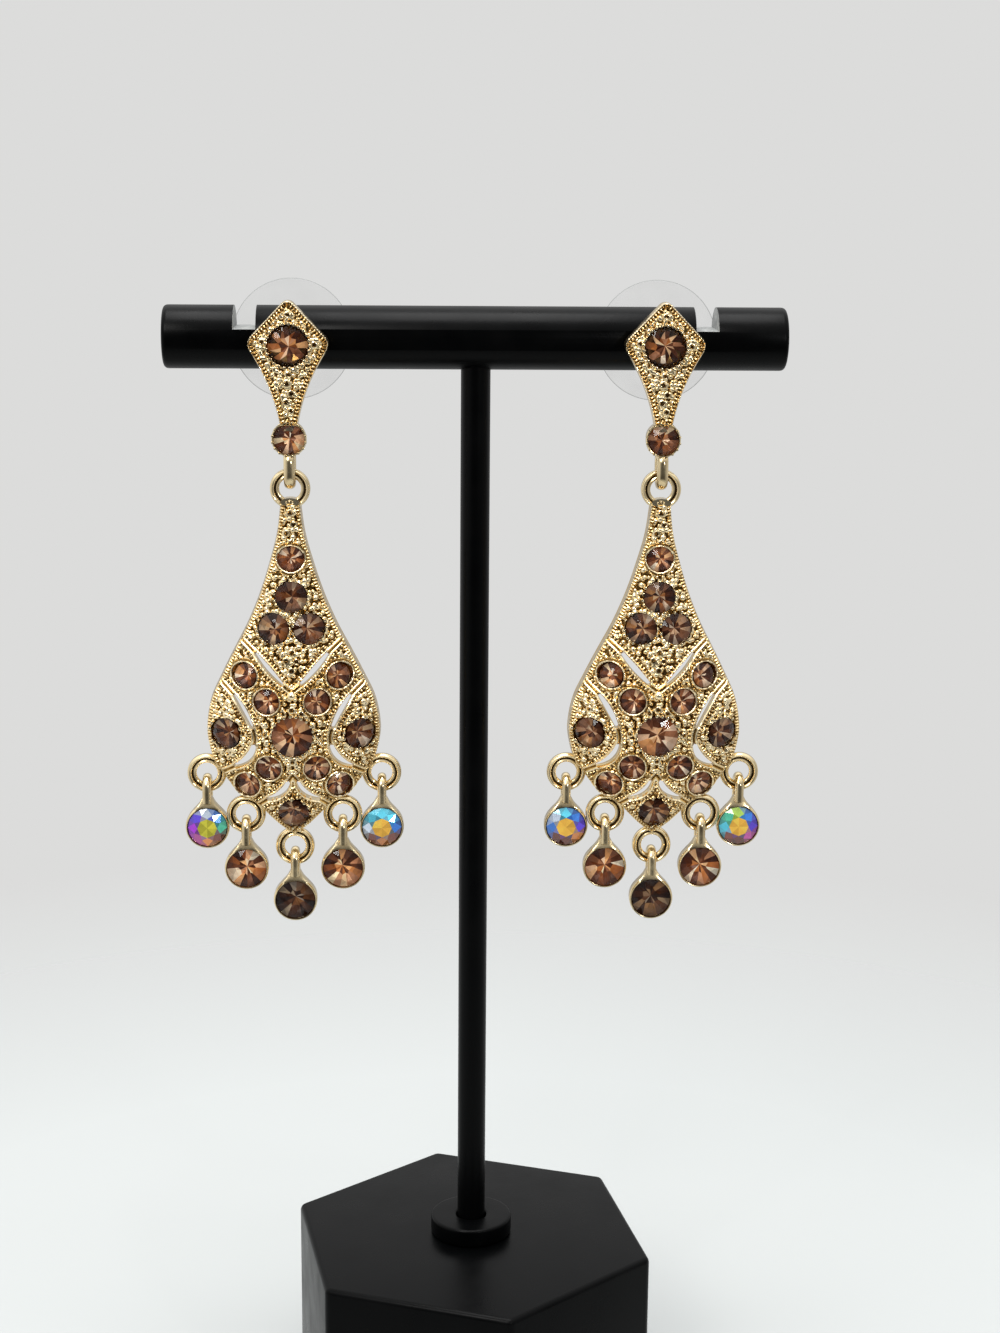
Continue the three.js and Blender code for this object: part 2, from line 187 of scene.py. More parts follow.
def make(name, form, materials, body, replaces=(), smooth=40.0):
    """One piece from a form. Edges sharper than smooth degrees stay sharp, and 0 is flat shading."""
    mesh = bpy.data.meshes.new(name)
    mesh.from_pydata((np.concatenate(form.points) * MM).tolist(), [], form.faces)
    for material in materials:
        mesh.materials.append(material)
    mesh.polygons.foreach_set("material_index", form.slots)
    tone = mesh.attributes.new("tone", "FLOAT", "POINT")
    tone.data.foreach_set("value", np.concatenate(form.tones).astype(np.float32))
    mesh.validate()
    build = bmesh.new()
    build.from_mesh(mesh)
    bmesh.ops.recalc_face_normals(build, faces=build.faces)
    build.to_mesh(mesh)
    build.free()
    if smooth:
        shade_smooth(mesh, smooth)
    return settle(bpy.data.objects.new(name, mesh), body, replaces)


def net_faces(rows, columns, closed=False, capped=False):
    """Quads between neighbouring points of a net whose rows are rings, and caps on its end rings."""
    faces = []
    for r in range(rows if closed else rows - 1):
        for c in range(columns):
            near, far = r * columns, ((r + 1) % rows) * columns
            after = (c + 1) % columns
            faces.append((near + c, near + after, far + after, far + c))
    if capped:
        faces.append(tuple(range(columns))[::-1])
        faces.append(tuple((rows - 1) * columns + i for i in range(columns)))
    return faces


def revolved(profile, sides, closed=False):
    """A turned form round Y, from (radius, y) rows given from the back (high y) to the front."""
    radius, y = np.asarray(profile, float).T[:, :, None]
    angle = np.linspace(0, 2 * np.pi, sides, endpoint=False)
    net = np.stack([radius * np.cos(angle), y + 0 * angle, radius * np.sin(angle)], -1)
    return Form().add(net, net_faces(len(profile), sides, closed, not closed))


def rounded(points, radius, steps=4):
    """A polyline with its inner corners rounded off."""
    points = [np.array(p, float) for p in points]
    result = [points[0]]
    for before, corner, after in zip(points, points[1:], points[2:]):
        a, b = before - corner, after - corner
        cut = min(radius, np.linalg.norm(a) / 2.01, np.linalg.norm(b) / 2.01)
        a, b = a / np.linalg.norm(a) * cut, b / np.linalg.norm(b) * cut
        result += [corner + a * (1 - t) ** 2 + b * t**2 for t in np.linspace(0, 1, steps + 1)]
    return result + [points[-1]]


def swept(path, section):
    """A tube along a path of points in the YZ plane. section is (across, along X) rows."""
    path, up = np.asarray(path, float), np.array([1.0, 0, 0])
    tangent = np.gradient(path, axis=0)
    tangent /= np.linalg.norm(tangent, axis=1)[:, None]
    across = np.cross(tangent, up)
    net = path[:, None, :] + section[None, :, :1] * across[:, None, :] + section[None, :, 1:] * up
    return Form().add(net, net_faces(len(path), len(section), capped=True))


def ellipse(half_across, half_up, sides):
    angle = np.linspace(0, 2 * np.pi, sides, endpoint=False)
    return np.stack([half_across * np.cos(angle), half_up * np.sin(angle)], -1)


def half_turn(y, height, radius, up):
    """Points of half a circle in the YZ plane, from the front over to the back, or under if up is -1."""
    return [(0, y - radius * np.cos(a), height + up * radius * np.sin(a)) for a in np.linspace(0, np.pi, 20)]


def ball(centre, radius, segments=7, rings=4):
    """A small bead: (points, faces)."""
    theta = np.linspace(0, np.pi, rings + 1)[1:-1, None]
    phi = np.linspace(0, 2 * np.pi, segments, endpoint=False)
    net = [np.sin(theta) * np.cos(phi), np.cos(theta) + 0 * phi, np.sin(theta) * np.sin(phi)]
    points = np.concatenate([np.stack(net, -1).reshape(-1, 3), [[0, 1, 0], [0, -1, 0]]]) * radius + centre
    faces = [face[::-1] for face in net_faces(rings - 1, segments)]
    last, top, bottom = (rings - 2) * segments, len(points) - 2, len(points) - 1
    for i in range(segments):
        j = (i + 1) % segments
        faces += [(i, j, top), (last + j, last + i, bottom)]
    return points, faces


# ---------------------------------------------------------------- the dome and its outline
def half_width(height):
    """Half the plate's width: a smooth curve through the rows of PLATE_WIDTHS."""
    heights, halves = np.array(PLATE_WIDTHS).T
    last = len(heights) - 1
    low, high = np.r_[0, 0:last], np.r_[1 : last + 1, last]
    slope = (halves[high] - halves[low]) / (heights[high] - heights[low])
    height = np.asarray(height, float)
    i = np.clip(np.searchsorted(-heights, -height, side="right") - 1, 0, last - 1)
    span = heights[i + 1] - heights[i]
    t = (height - heights[i]) / span
    ease = t * t * (3 - 2 * t)
    bend = t * (1 - t) * ((1 - t) * slope[i] - t * slope[i + 1]) * span
    return halves[i] + ease * (halves[i + 1] - halves[i]) + bend


def wall_y(x, height):
    """The middle of the plate's wall: arched across, and leaning back towards the bottom."""
    t = (WIDEST["height"] - height) / WIDEST["reach"]
    below = WIDEST["half"] * np.sqrt(np.maximum(1 - t * t, 0.01))
    half = np.where(height > WIDEST["height"], half_width(height), below)
    return HANG["y"] - DOME * (half - x * x / half) + LEAN * (HANG["height"] - height)


def front_y(x, height):
    return wall_y(x, height) - WALL / 2


def outward(surface, x, height):
    """Unit vectors out of the front of a surface y = surface(x, height)."""
    near = 0.01
    slope_x = (surface(x + near, height) - surface(x - near, height)) / (2 * near)
    slope_z = (surface(x, height + near) - surface(x, height - near)) / (2 * near)
    normal = np.stack([slope_x, -np.ones_like(slope_x), slope_z], -1)
    return normal / np.linalg.norm(normal, axis=-1, keepdims=True)


def resampled(points, spacing, closed=True):
    """The same line with evenly spaced points."""
    points = np.asarray(points, float)
    if closed:
        points = np.vstack([points, points[:1]])
    length = np.r_[0, np.cumsum(np.linalg.norm(np.diff(points, axis=0), axis=1))]
    count = max(int(round(length[-1] / spacing)), 4)
    at = np.linspace(0, length[-1], count + 1)[: count if closed else count + 1]
    return np.stack([np.interp(at, length, points[:, k]) for k in (0, 1)], -1)


def smooth_line(points, spacing):
    """A smooth curve through given points."""
    points = np.asarray(points, float)
    padded = np.vstack([2 * points[0] - points[1], points, 2 * points[-1] - points[-2]])
    t = np.linspace(0, 1, 12, endpoint=False)[:, None]
    pieces = []
    for a, b, c, d in zip(padded, padded[1:], padded[2:], padded[3:]):
        square, cube = 2 * a - 5 * b + 4 * c - d, 3 * b - a - 3 * c + d
        pieces.append(0.5 * (2 * b + (c - a) * t + square * t**2 + cube * t**3))
    return resampled(np.vstack(pieces + [points[-1:]]), spacing, closed=False)


def quadratic(a, b, c, count):
    t = np.linspace(0, 1, count)[:, None]
    return (1 - t) ** 2 * np.array(a) + 2 * t * (1 - t) * np.array(b) + t**2 * np.array(c)


def slot_outline(slot, side):
    """A slot's closed outline: widest half way, with round ends."""
    line = quadratic(slot["start"], slot["bend"], slot["end"], 15)
    tangent = np.gradient(line, axis=0)
    tangent /= np.linalg.norm(tangent, axis=1)[:, None]
    normal = np.stack([-tangent[:, 1], tangent[:, 0]], -1)
    half = slot["width"] / 2 * (0.62 + 0.38 * np.sin(np.pi * np.linspace(0, 1, 15)[:, None]))
    cap = np.linspace(0, np.pi, 7)[1:-1][:, None]
    first = line[0] + half[0] * (np.cos(cap) * normal[0] - np.sin(cap) * tangent[0])
    last = line[-1] + half[-1] * (np.cos(cap) * normal[-1] + np.sin(cap) * tangent[-1])
    ring = np.vstack([line + half * normal, last, (line - half * normal)[::-1], first])
    return ring * [side, 1]


def plate_outline():
    top, lowest = PLATE_WIDTHS[0][0], PLATE_WIDTHS[-1][0]
    heights = np.linspace(top, lowest, 60)
    right = np.stack([half_width(heights), heights], -1)
    corner, tip = right[-1], np.array([0.0, PLATE_TIP])
    t = np.linspace(0, 1, 30)[1:][:, None]
    # the edge from the widest part's end to the tip waves a little, and swells at a small stone
    scallop = 0.1 * np.sin(3 * np.pi * t) + 0.5 * np.exp(-(((t - 0.33) / 0.14) ** 2))
    edge = corner + (tip - corner) * t + scallop * np.array([0.7, -0.71])
    right = np.vstack([right, edge[:-1]])
    return np.vstack([[[0.0, top + 0.2]], right, [tip], right[::-1] * [-1, 1]])


def nearest(points, line, closed):
    """Distance from each point to a line, and how far along the line its nearest place is."""
    ends = np.vstack([line, line[:1]]) if closed else line
    start, run = ends[:-1], np.diff(ends, axis=0)
    length = np.linalg.norm(run, axis=1)
    along = np.r_[0, np.cumsum(length)[:-1]]
    best, place = [], []
    for part in np.split(points, range(4000, len(points), 4000)):
        offset = part[:, None, :] - start[None]
        t = np.clip((offset * run).sum(-1) / np.maximum(length**2, 1e-12), 0, 1)
        gap = np.linalg.norm(offset - t[..., None] * run, axis=-1)
        pick, rows = gap.argmin(1), np.arange(len(part))
        best.append(gap[rows, pick])
        place.append(along[pick] + t[rows, pick] * length[pick])
    return np.concatenate(best), np.concatenate(place)


def inside(points, line):
    """True where a point is inside a closed line."""
    result = np.zeros(len(points), bool)
    for (ax, ay), (bx, by) in zip(line, np.roll(line, -1, axis=0)):
        crosses = (ay > points[:, 1]) != (by > points[:, 1])
        with np.errstate(divide="ignore", invalid="ignore"):
            at = ax + (points[:, 1] - ay) / (by - ay) * (bx - ax)
        result ^= crosses & (points[:, 0] < at)
    return result


def on_plate(points, outline, holes):
    keep = inside(points, outline)
    for hole in holes:
        keep &= ~inside(points, hole)
    return keep


def circle_line(x, height, radius, spacing):
    return ellipse(radius, radius, int(2 * np.pi * radius / spacing)) + (x, height)


def sheet_mesh(outline, holes, spacing, margin, creases=()):
    """Triangles over an outline with holes, with edges along its creases, which are circles:
    (points, triangles, boundary loops)."""
    loops = [outline] + holes
    low, high = outline.min(0), outline.max(0)
    rows = np.arange(low[1], high[1], spacing * math.sqrt(3) / 2)
    grid = np.vstack([
        [(x, y) for x in np.arange(low[0] + (i % 2) * spacing / 2, high[0], spacing)]
        for i, y in enumerate(rows)
    ])
    grid = grid[on_plate(grid, outline, holes)]
    clear = np.min([nearest(grid, loop, True)[0] for loop in loops], axis=0)
    for x, height, radius in creases:
        off = np.abs(np.hypot(grid[:, 0] - x, grid[:, 1] - height) - radius)
        clear = np.minimum(clear, off + margin * 0.4)
    points, edges, rings = [], [], []
    for loop in loops + [circle_line(*crease, spacing) for crease in creases]:
        first, count = len(points), len(loop)
        points += [tuple(p) for p in loop]
        edges += [(first + i, first + (i + 1) % count) for i in range(count)]
        rings.append(np.arange(first, first + count))
    points += [tuple(p) for p in grid[clear > margin]]
    found = delaunay_2d_cdt([Vector(p) for p in points], edges, [], 0, 1e-7)
    place, triangles = np.array([tuple(p) for p in found[0]]), np.array(found[2])
    keep = on_plate(place[triangles].mean(1), outline, holes)
    return place, triangles[keep], rings[: len(loops)]


def facing_back(points, triangles):
    a, b, c = (points[triangles[:, k]] for k in range(3))
    return np.cross(b - a, c - a)[:, 1].mean() > 0


def casting(outline, holes, surface, relief, thickness, spacing, creases=()):
    """A cast plate: a relief front, a smooth back and walls between them, as one closed form."""
    outline = resampled(outline, spacing)
    holes = [resampled(hole, spacing) for hole in holes]
    flat, front, loops = sheet_mesh(outline, holes, spacing, spacing * 0.45, creases)
    rise, tone = relief(flat)
    top = np.stack([flat[:, 0], surface(*flat.T), flat[:, 1]], -1) + outward(surface, *flat.T) * rise[:, None]
    form = Form().add(top, front[:, ::-1] if facing_back(top, front) else front, tone)
    # the back's mesh is coarser, and starts with the same boundary points
    flat, back, _ = sheet_mesh(outline, holes, spacing * 3.2, spacing * 1.2)
    under = np.stack([flat[:, 0], surface(*flat.T) + thickness, flat[:, 1]], -1)
    first = form.count
    # the smooth back gets a middling painted shading
    form.add(under, back if facing_back(under, back) else back[:, ::-1], 0.6)
    for loop in loops:
        quads = [(int(a), int(b), int(first + b), int(first + a)) for a, b in zip(loop, np.roll(loop, -1))]
        form.faces += [quad[::-1] for quad in quads] if loop is loops[0] else quads
        form.slots += [0] * len(quads)
    return form


# ---------------------------------------------------------------- relief of the castings
# a relief is a rise above the surface and a painted shading, 0 for painted shade in the recesses and 1 for a painted
# highlight on high ground
# dark is the painted shade in the gaps between the pebbles
PAVING = {
    "plate": {"pitch": 0.48, "seed": 11, "height": 0.34, "level": 0.6, "dark": 0.06},
    "kite": {"pitch": 0.4, "seed": 23, "height": 0.2, "level": 0.55, "dark": 0.2},
}
# the outer edge: a row of beads from reach[1] in, and a thin rim outside it
EDGE = {
    "plate": {"beads": 0.33, "pitch": 0.33, "rise": 0.2, "bed": -0.08, "reach": (0.56, 0.5), "rim": 0.07,
              "rim_half": 0.09, "rim_rise": 0.05, "rim_bed": -0.06, "rim_painted_shading": 0.9, "rim_reach": (0.17, 0.13)},
    "kite": {"beads": 0.38, "pitch": 0.36, "rise": 0.24, "bed": -0.1, "reach": (0.62, 0.55), "rim": 0.09,
             "rim_half": 0.1, "rim_rise": 0.1, "rim_bed": -0.02, "rim_painted_shading": 1.0, "rim_reach": (0.19, 0.15)},
}
LIP = {"ridge": 0.12, "ridge_half": 0.14, "beads": 0.38, "beads_half": 0.17, "pitch": 0.37}
BEZEL = {"room": 0.02, "crest": 0.1, "half": 0.11, "creases": (0.1, 0.21)}
SEAT = {"step": 0.2, "cone": 1.0, "creases": (-0.055, 0.0)}
GROOVE_HALF = 0.13
RING_SIDES = 56
NUB = {"height": -35.62, "radius": 0.5}
SPACING = {"plate": 0.088, "kite": 0.075}
# small craters among the pebbles: x, height and radius
PLATE_CRATERS = [
    (0.0, -17.1, 0.34), (0.32, -18.3, 0.33), (-0.38, -19.2, 0.34), (0.1, -20.1, 0.3), (0.0, -23.6, 0.34),
    (-1.35, -26.0, 0.3), (0.05, -31.3, 0.36), (-0.55, -32.1, 0.33), (0.5, -32.2, 0.34), (0.0, -33.1, 0.32),
    (0.0, -37.1, 0.33), (0.95, -37.5, 0.3), (-0.9, -37.45, 0.31), (0.0, -42.6, 0.33), (2.75, -39.9, 0.32),
    (-2.8, -39.7, 0.32), (6.9, -37.6, 0.3), (-6.9, -37.5, 0.3), (6.6, -42.2, 0.3), (-6.7, -42.2, 0.31),
]
KITE_CRATERS = [
    (-0.15, -4.15, 0.36), (0.3, -5.15, 0.34), (-0.2, -6.0, 0.33), (0.22, -6.85, 0.3), (0.0, 2.55, 0.32),
    (-2.55, -0.1, 0.3), (2.6, -0.35, 0.3), (0.05, -3.3, 0.32),
]


def step(low, high, value):
    t = np.clip((value - low) / (high - low), 0, 1)
    return t * t * (3 - 2 * t)


def bump(centre, half, value):
    """A round ridge of height 1 across value = centre."""
    return np.sqrt(np.clip(1 - ((value - centre) / half) ** 2, 0, 1))


def bead_row(centre, half, pitch, distance, along):
    return bump(centre, half, distance) * (0.5 + 0.5 * np.cos(2 * np.pi * along / pitch))


def lay(rise, tone, height, shade, weight):
    """Blends a feature over what is there."""
    return rise + (height - rise) * weight, tone + (shade - tone) * weight


def pebbles(flat, pitch, seed):
    """Height from 0 to 1 of closely packed round pebbles of uneven size."""
    random = np.random.default_rng(seed)
    low = flat.min(0) - 2 * pitch
    cells = np.ceil((flat.max(0) + 2 * pitch - low) / pitch).astype(int) + 1
    jitter = random.random((cells[0], cells[1], 2)) * 0.8 + 0.1
    size = 0.78 + 0.44 * random.random((cells[0], cells[1]))
    cell = np.floor((flat - low) / pitch).astype(int)
    near, scale = np.full(len(flat), 1e9), np.ones(len(flat))
    for i in (-1, 0, 1):
        for j in (-1, 0, 1):
            at = np.clip(cell + [i, j], 0, cells - 1)
            own = size[at[:, 0], at[:, 1]]
            centre = low + (at + jitter[at[:, 0], at[:, 1]]) * pitch
            gap = np.linalg.norm(flat - centre, axis=1) / own
            scale = np.where(gap < near, own, scale)
            near = np.minimum(gap, near)
    return np.sqrt(np.clip(1 - (near / (0.62 * pitch)) ** 2, 0, 1)) * scale


def paved(flat, kind):
    grain = pebbles(flat, kind["pitch"], kind["seed"])
    # the gaps between pebbles are painted dark as shade and their tops painted light as highlights
    dark = kind["dark"]
    return kind["height"] * (grain - kind["level"]), dark + (1 - dark) * np.clip(grain, 0, 1)


def beaded_edge(rise, tone, edge, along, kind):
    """The row of transverse beads along an outline, and a rim that falls back outside it, with painted shade between
    the beads and painted highlight on their tops and on the rim.
    """
    beads = bead_row(kind["beads"], 0.2, kind["pitch"], edge, along)
    height = kind["rise"] * beads + kind["bed"]
    rise, tone = lay(rise, tone, height, 0.15 + 0.85 * beads, step(*kind["reach"], edge))
    rim = kind["rim_rise"] * bump(kind["rim"], kind["rim_half"], edge) + kind["rim_bed"]
    rise, tone = lay(rise, tone, rim, kind["rim_painted_shading"], step(*kind["rim_reach"], edge))
    return rise - 0.2 * step(0.08, 0.0, edge), tone


def crater_rings(flat, rise, tone, craters):
    for x, height, radius in craters:
        away = np.hypot(flat[:, 0] - x, flat[:, 1] - height)
        # painted highlight on each crater's crest and painted shade on its floor
        crest = bump(radius * 0.78, 0.15, away)
        rise, tone = lay(rise, tone, 0.16 * crest, 0.3 + 0.7 * crest, step(radius + 0.12, radius, away))
        rise, tone = lay(rise, tone, -0.14, 0.15, step(radius * 0.6, radius * 0.3, away))
    return rise, tone


def all_stones():
    """Where the plate's stones are, as (x, height, radius): the larger ones, then the small ones."""
    stones = [row[1:] for row in PLATE_STONES]
    for x, height in SMALL_STONES:
        stones += [(side * x, height, SMALL) for side in ((1, -1) if x else (1,))]
    return stones


STONES, SMALLS = all_stones()[: len(PLATE_STONES)], all_stones()[len(PLATE_STONES):]
STUD_STONE = [(0.0, STUD_STONE_HEIGHT, LARGE)]


def seats(flat, rise, tone, stones, bezelled):
    """Cuts the stones' conical seats, painted dark as shade, and gives some of them a thin raised bezel, painted
    light as a highlight, with painted shade round it.
    """
    for x, height, radius in stones:
        away = np.hypot(flat[:, 0] - x, flat[:, 1] - height) - radius - BEZEL["room"]
        if bezelled:
            rise, tone = lay(rise, tone, -0.06, 0.3, step(0.42, 0.3, away))
            on_bezel = np.abs(away - BEZEL["crest"]) < BEZEL["half"]
            rise = np.where(on_bezel, 0.06 + 0.16 * bump(BEZEL["crest"], BEZEL["half"], away), rise)
            tone = np.where(on_bezel, 1.0, tone)
        cone = -SEAT["step"] - SEAT["cone"] * np.clip(-away / radius, 0, 1)
        rise, tone = lay(rise, tone, cone, 0.1, step(0.0, -0.05, away))
    return rise, tone


def seat_creases(stones, bezelled):
    """Circles, as (x, height, radius), where the relief of a seat turns sharply."""
    offsets = SEAT["creases"] + (BEZEL["creases"] if bezelled else ())
    return [(x, height, radius + BEZEL["room"] + offset) for x, height, radius in stones for offset in offsets]


def prongs(form, surface, stones, pitch, size, skip=0.0):
    """Small beads set round stones, on the front of a surface. skip is the share left out."""
    random = np.random.default_rng(5)
    for x, height, radius in stones:
        reach = radius + BEZEL["room"] + 0.06
        count = int(round(2 * np.pi * reach / pitch))
        for i in range(count):
            if random.random() < skip:
                continue
            angle = 2 * np.pi * (i + 0.12 * random.random()) / count
            px, pz = x + reach * math.cos(angle), height + reach * math.sin(angle)
            centre = np.array([px, surface(px, pz), pz]) + outward(surface, px, pz) * 0.14
            # each bead gets the palest painted shading, a painted highlight
            form.add(*ball(centre, size * random.uniform(0.88, 1.1)), 1.0)


# ---------------------------------------------------------------- the drop plate
def slots_and_grooves(flat, holes):
    """Distance to the nearest lip of a slot or groove, how far along it, and distance to a groove."""
    lip, along = np.full(len(flat), 1e9), np.zeros(len(flat))
    for hole in holes:
        gap, place = nearest(flat, hole, True)
        along = np.where(gap < lip, place, along)
        lip = np.minimum(lip, gap)
    groove = np.full(len(flat), 1e9)
    for border in BORDERS:
        line = smooth_line(border, 0.2)
        for half in (line, line * [-1, 1]):
            gap, place = nearest(flat, half, False)
            closer = gap - GROOVE_HALF < lip
            along = np.where(closer, place, along)
            lip = np.where(closer, np.maximum(gap - GROOVE_HALF, 0), lip)
            groove = np.minimum(groove, gap)
    return lip, along, groove


def plate_relief(outline, holes):
    def relief(flat):
        edge, along_edge = nearest(flat, outline, True)
        lip, along, groove = slots_and_grooves(flat, holes)
        rise, tone = paved(flat, PAVING["plate"])
        rise, tone = crater_rings(flat, rise, tone, PLATE_CRATERS)
        rise, tone = beaded_edge(rise, tone, edge, along_edge, EDGE["plate"])
        # the lips of slots and grooves: a smooth ridge and a row of beads, with painted highlight on their crests
        # and painted shade between them and on the groove floors
        beads = bead_row(LIP["beads"], LIP["beads_half"], LIP["pitch"], lip, along)
        band = step(0.6, 0.54, lip) * step(0.2, 0.35, edge)
        rise, tone = lay(rise, tone, 0.24 * beads - 0.1, 0.1 + 0.9 * beads, band)
        ridge = bump(LIP["ridge"], LIP["ridge_half"], lip)
        shade = 0.15 + 0.8 * step(0, 0.5, ridge)
        rise, tone = lay(rise, tone, 0.26 * ridge - 0.12, shade, band * step(0.28, 0.22, lip))
        floor = step(GROOVE_HALF, GROOVE_HALF - 0.1, groove) * step(0.0, 0.2, edge)
        rise, tone = lay(rise, tone, -0.16, 0.2, floor)
        rise, tone = seats(flat, rise, tone, STONES, False)
        return seats(flat, rise, tone, SMALLS, True)

    return relief


def ring_form(x, y, height):
    """A ring with a round outer rim, a groove and an inner step on its front."""
    middle, wire = RING["middle"], RING["wire"]
    outer, inner = middle + wire, middle - wire + 0.07
    # rows of (radius, y, painted shading): painted shade in the groove, painted highlight on the rims
    front = [
        (inner, 0.1, 1), (inner, -0.2, 1), (inner + 0.06, -0.28, 1), (inner + 0.18, -0.32, 1),
        (inner + 0.3, -0.26, 0.5), (inner + 0.33, -0.16, 0), (inner + 0.41, -0.15, 0), (inner + 0.45, -0.3, 0.5),
        (inner + 0.57, -0.46, 1), (inner + 0.71, -0.5, 1), (outer - 0.1, -0.42, 1), (outer - 0.02, -0.28, 1),
        (outer, -0.1, 1),
    ]
    back = [(outer, 0.12, 1), (outer - 0.1, 0.34, 1), (middle + 0.1, 0.46, 1), (middle - 0.2, 0.44, 1),
            (inner + 0.08, 0.3, 1)]
    form = revolved([row[:2] for row in front + back], RING_SIDES, closed=True)
    form.tones = [np.repeat([float(row[2]) for row in front + back], RING_SIDES)]
    return form.moved((x, y, height))


def plate_form():
    outline = plate_outline()
    holes = [slot_outline(slot, side) for slot in SLOTS for side in (1, -1)]
    # the outermost small stones reach past the plate's edge, so they get no creases
    creases = seat_creases(STONES, False) + seat_creases([row for row in SMALLS if abs(row[0]) < 4.65], True)
    shape = casting(outline, holes, front_y, plate_relief(outline, holes), WALL, SPACING["plate"], creases)
    prongs(shape, front_y, [row for row in STONES if row[2] == LARGE], 0.6, 0.21)
    prongs(shape, front_y, [row for row in STONES if row[2] == MEDIUM], 0.7, 0.19, skip=0.35)
    # the polished nub under the point of the top panel
    nub = (0.0, float(front_y(0.0, NUB["height"])), NUB["height"])
    shape.add(*ball(nub, NUB["radius"], 20, 12), 1.0)
    shape.join(ring_form(0.0, HANG["y"], HANG["height"] - RING["middle"]), 1)
    for x, height, edge in EDGE_RINGS:
        shape.join(ring_form(x, float(wall_y(*edge)), height), 1)
    # the collar where the plate's neck grips its ring
    collar = [(0, wall_y(0, -16.2) + deep, -16.05) for deep in (-0.62, -0.3, 0, 0.3, 0.62)]
    return shape.join(swept(collar, ellipse(0.42, PLATE_WIDTHS[0][1] * 0.98, 16)))


# ---------------------------------------------------------------- the stud
def kite_outline():
    top, widest, bottom = (KITE[key] for key in ("top", "widest", "bottom"))
    wide = KITE["wide"] + 0.16
    near, neck, waist = wide - 0.35, 0.88, 1.5
    right = np.vstack([
        quadratic((0, top - 0.02), (0.35, top - 0.05), (0.55, top - 0.25), 5),
        quadratic((near, widest + 0.55), (wide + 0.1, widest), (near, widest - 0.8), 9),
        quadratic((near, widest - 0.8), (waist, widest - 4.4), (neck, bottom), 24)[1:],
    ])
    return np.vstack([right, (right * [-1, 1])[::-1][:-1]])


def kite_y(x, height):
    """The kite's front: flat at the edges and a little fuller down its middle."""
    return KITE["front"] - 0.12 * np.exp(-((x / 2.2) ** 2)) + 0 * height


def kite_relief(outline):
    def relief(flat):
        edge, along = nearest(flat, outline, True)
        rise, tone = crater_rings(flat, *paved(flat, PAVING["kite"]), KITE_CRATERS)
        rise, tone = beaded_edge(rise, tone, edge, along, EDGE["kite"])
        return seats(flat, rise, tone, STUD_STONE, False)

    return relief


def setting_form():
    """The tapered cup under the kite's tail, with its beaded lip."""
    radius, front, back, inner = (SETTING[key] for key in ("radius", "front", "back", "stone"))
    rows = [
        (0.6, back), (1.2, back + 0.05), (1.42, back + 0.3), (1.5, back + 0.6), (1.62, front + 1.2),
        (radius, front + 0.7), (radius + 0.03, front + 0.3), (radius - 0.02, front + 0.06),
        (radius - 0.08, front - 0.02), (inner + 0.03, front), (inner, front + 0.3), (0.1, front + 1.5),
    ]
    cup = revolved(rows, 48)
    lip, beads = radius - 0.07, 16
    for i in range(beads):
        angle = 2 * math.pi * (i + 0.5) / beads
        cup.add(*ball((lip * math.cos(angle), front - 0.02, lip * math.sin(angle)), 0.15))
    return cup.moved((0, 0, SETTING["height"]))


def stud_loop():
    """The loop under the stud: round the drop's ring, its ends bent in to the setting's foot."""
    radius = LOOP["inner"] + LOOP["wire"] / 2
    y, z = HANG["y"], HANG["height"]
    foot = SETTING["height"] - SETTING["radius"]
    start = rounded([(0, y - 0.35, foot + 0.35), (0, y - radius, foot - 0.25), (0, y - radius, z + 0.1)], 0.5)
    end = [(p[0], 2 * y - p[1], p[2]) for p in start[::-1]]
    return swept(start + half_turn(y, z, radius, -1) + end, ellipse(LOOP["wire"] / 2, LOOP["width"] / 2, 16))


def stud_form():
    outline = kite_outline()
    thickness = KITE["back"] - KITE["front"]
    creases = seat_creases(STUD_STONE, False)
    shape = casting(outline, [], kite_y, kite_relief(outline), thickness, SPACING["kite"], creases)
    prongs(shape, kite_y, STUD_STONE, 0.55, 0.21)
    shape.join(setting_form(), 1)
    # the tail's tongue into the setting
    tongue = [(0, KITE["front"] + 0.75, z) for z in (-8.0, -8.2, -8.6, -8.9)]
    shape.join(swept(tongue, ellipse(0.55, 0.8, 16)))
    shape.join(stud_loop(), 1)
    radius, front, back = PIN["radius"], PIN["front"], PIN["back"]
    rows = [(0.12, back), (0.3, back - 0.25), (radius, back - 0.55), (radius, front)]
    return shape.join(revolved(rows, 20).moved((0, 0, PIN["height"])))


# ---------------------------------------------------------------- the small drops
# how far a cup's wall is drawn up, by the angle from straight up in radians
SHOULDER = {"angle": [0, 0.14, 0.2, 0.3, 0.45, 0.62, 0.8, 3.2], "draw": [0.98, 0.95, 0.72, 0.38, 0.17, 0.06, 0, 0]}


def cup_form():
    """A cup round its own middle: the lip round the stone, and shoulders drawn up to the link's feet."""
    radius, front, back = DROP["radius"], DROP["front"], DROP["back"]
    rows = [
        (0.4, back), (radius - 0.75, back - 0.02), (radius - 0.4, back - 0.2), (radius - 0.15, back - 0.6),
        (radius, 0.2), (radius + 0.03, -front + 0.6), (radius + 0.03, -front + 0.25),
        (radius - 0.01, -front + 0.05), (radius - 0.1, -front - 0.04), (DROP_GEM + 0.06, -front - 0.02),
        (DROP_GEM + 0.01, -front + 0.1), (DROP_GEM, -front + 0.3), (0.1, -front + 1.6),
    ]
    cup = revolved(rows, 96)
    points = cup.points[0]
    reach = np.hypot(points[:, 0], points[:, 2])
    turn = np.abs(np.arctan2(points[:, 0], points[:, 2]))
    grow = step(DROP_GEM + 0.07, radius - 0.02, reach)
    shoulder = np.interp(turn, SHOULDER["angle"], SHOULDER["draw"])
    points *= (1 + grow * shoulder / radius)[:, None] ** [1, 0, 1]
    # the shoulder slopes back to the link's own thickness
    points[:, 1] *= 1 - 0.35 * grow * np.clip(shoulder, 0, 1)
    return cup


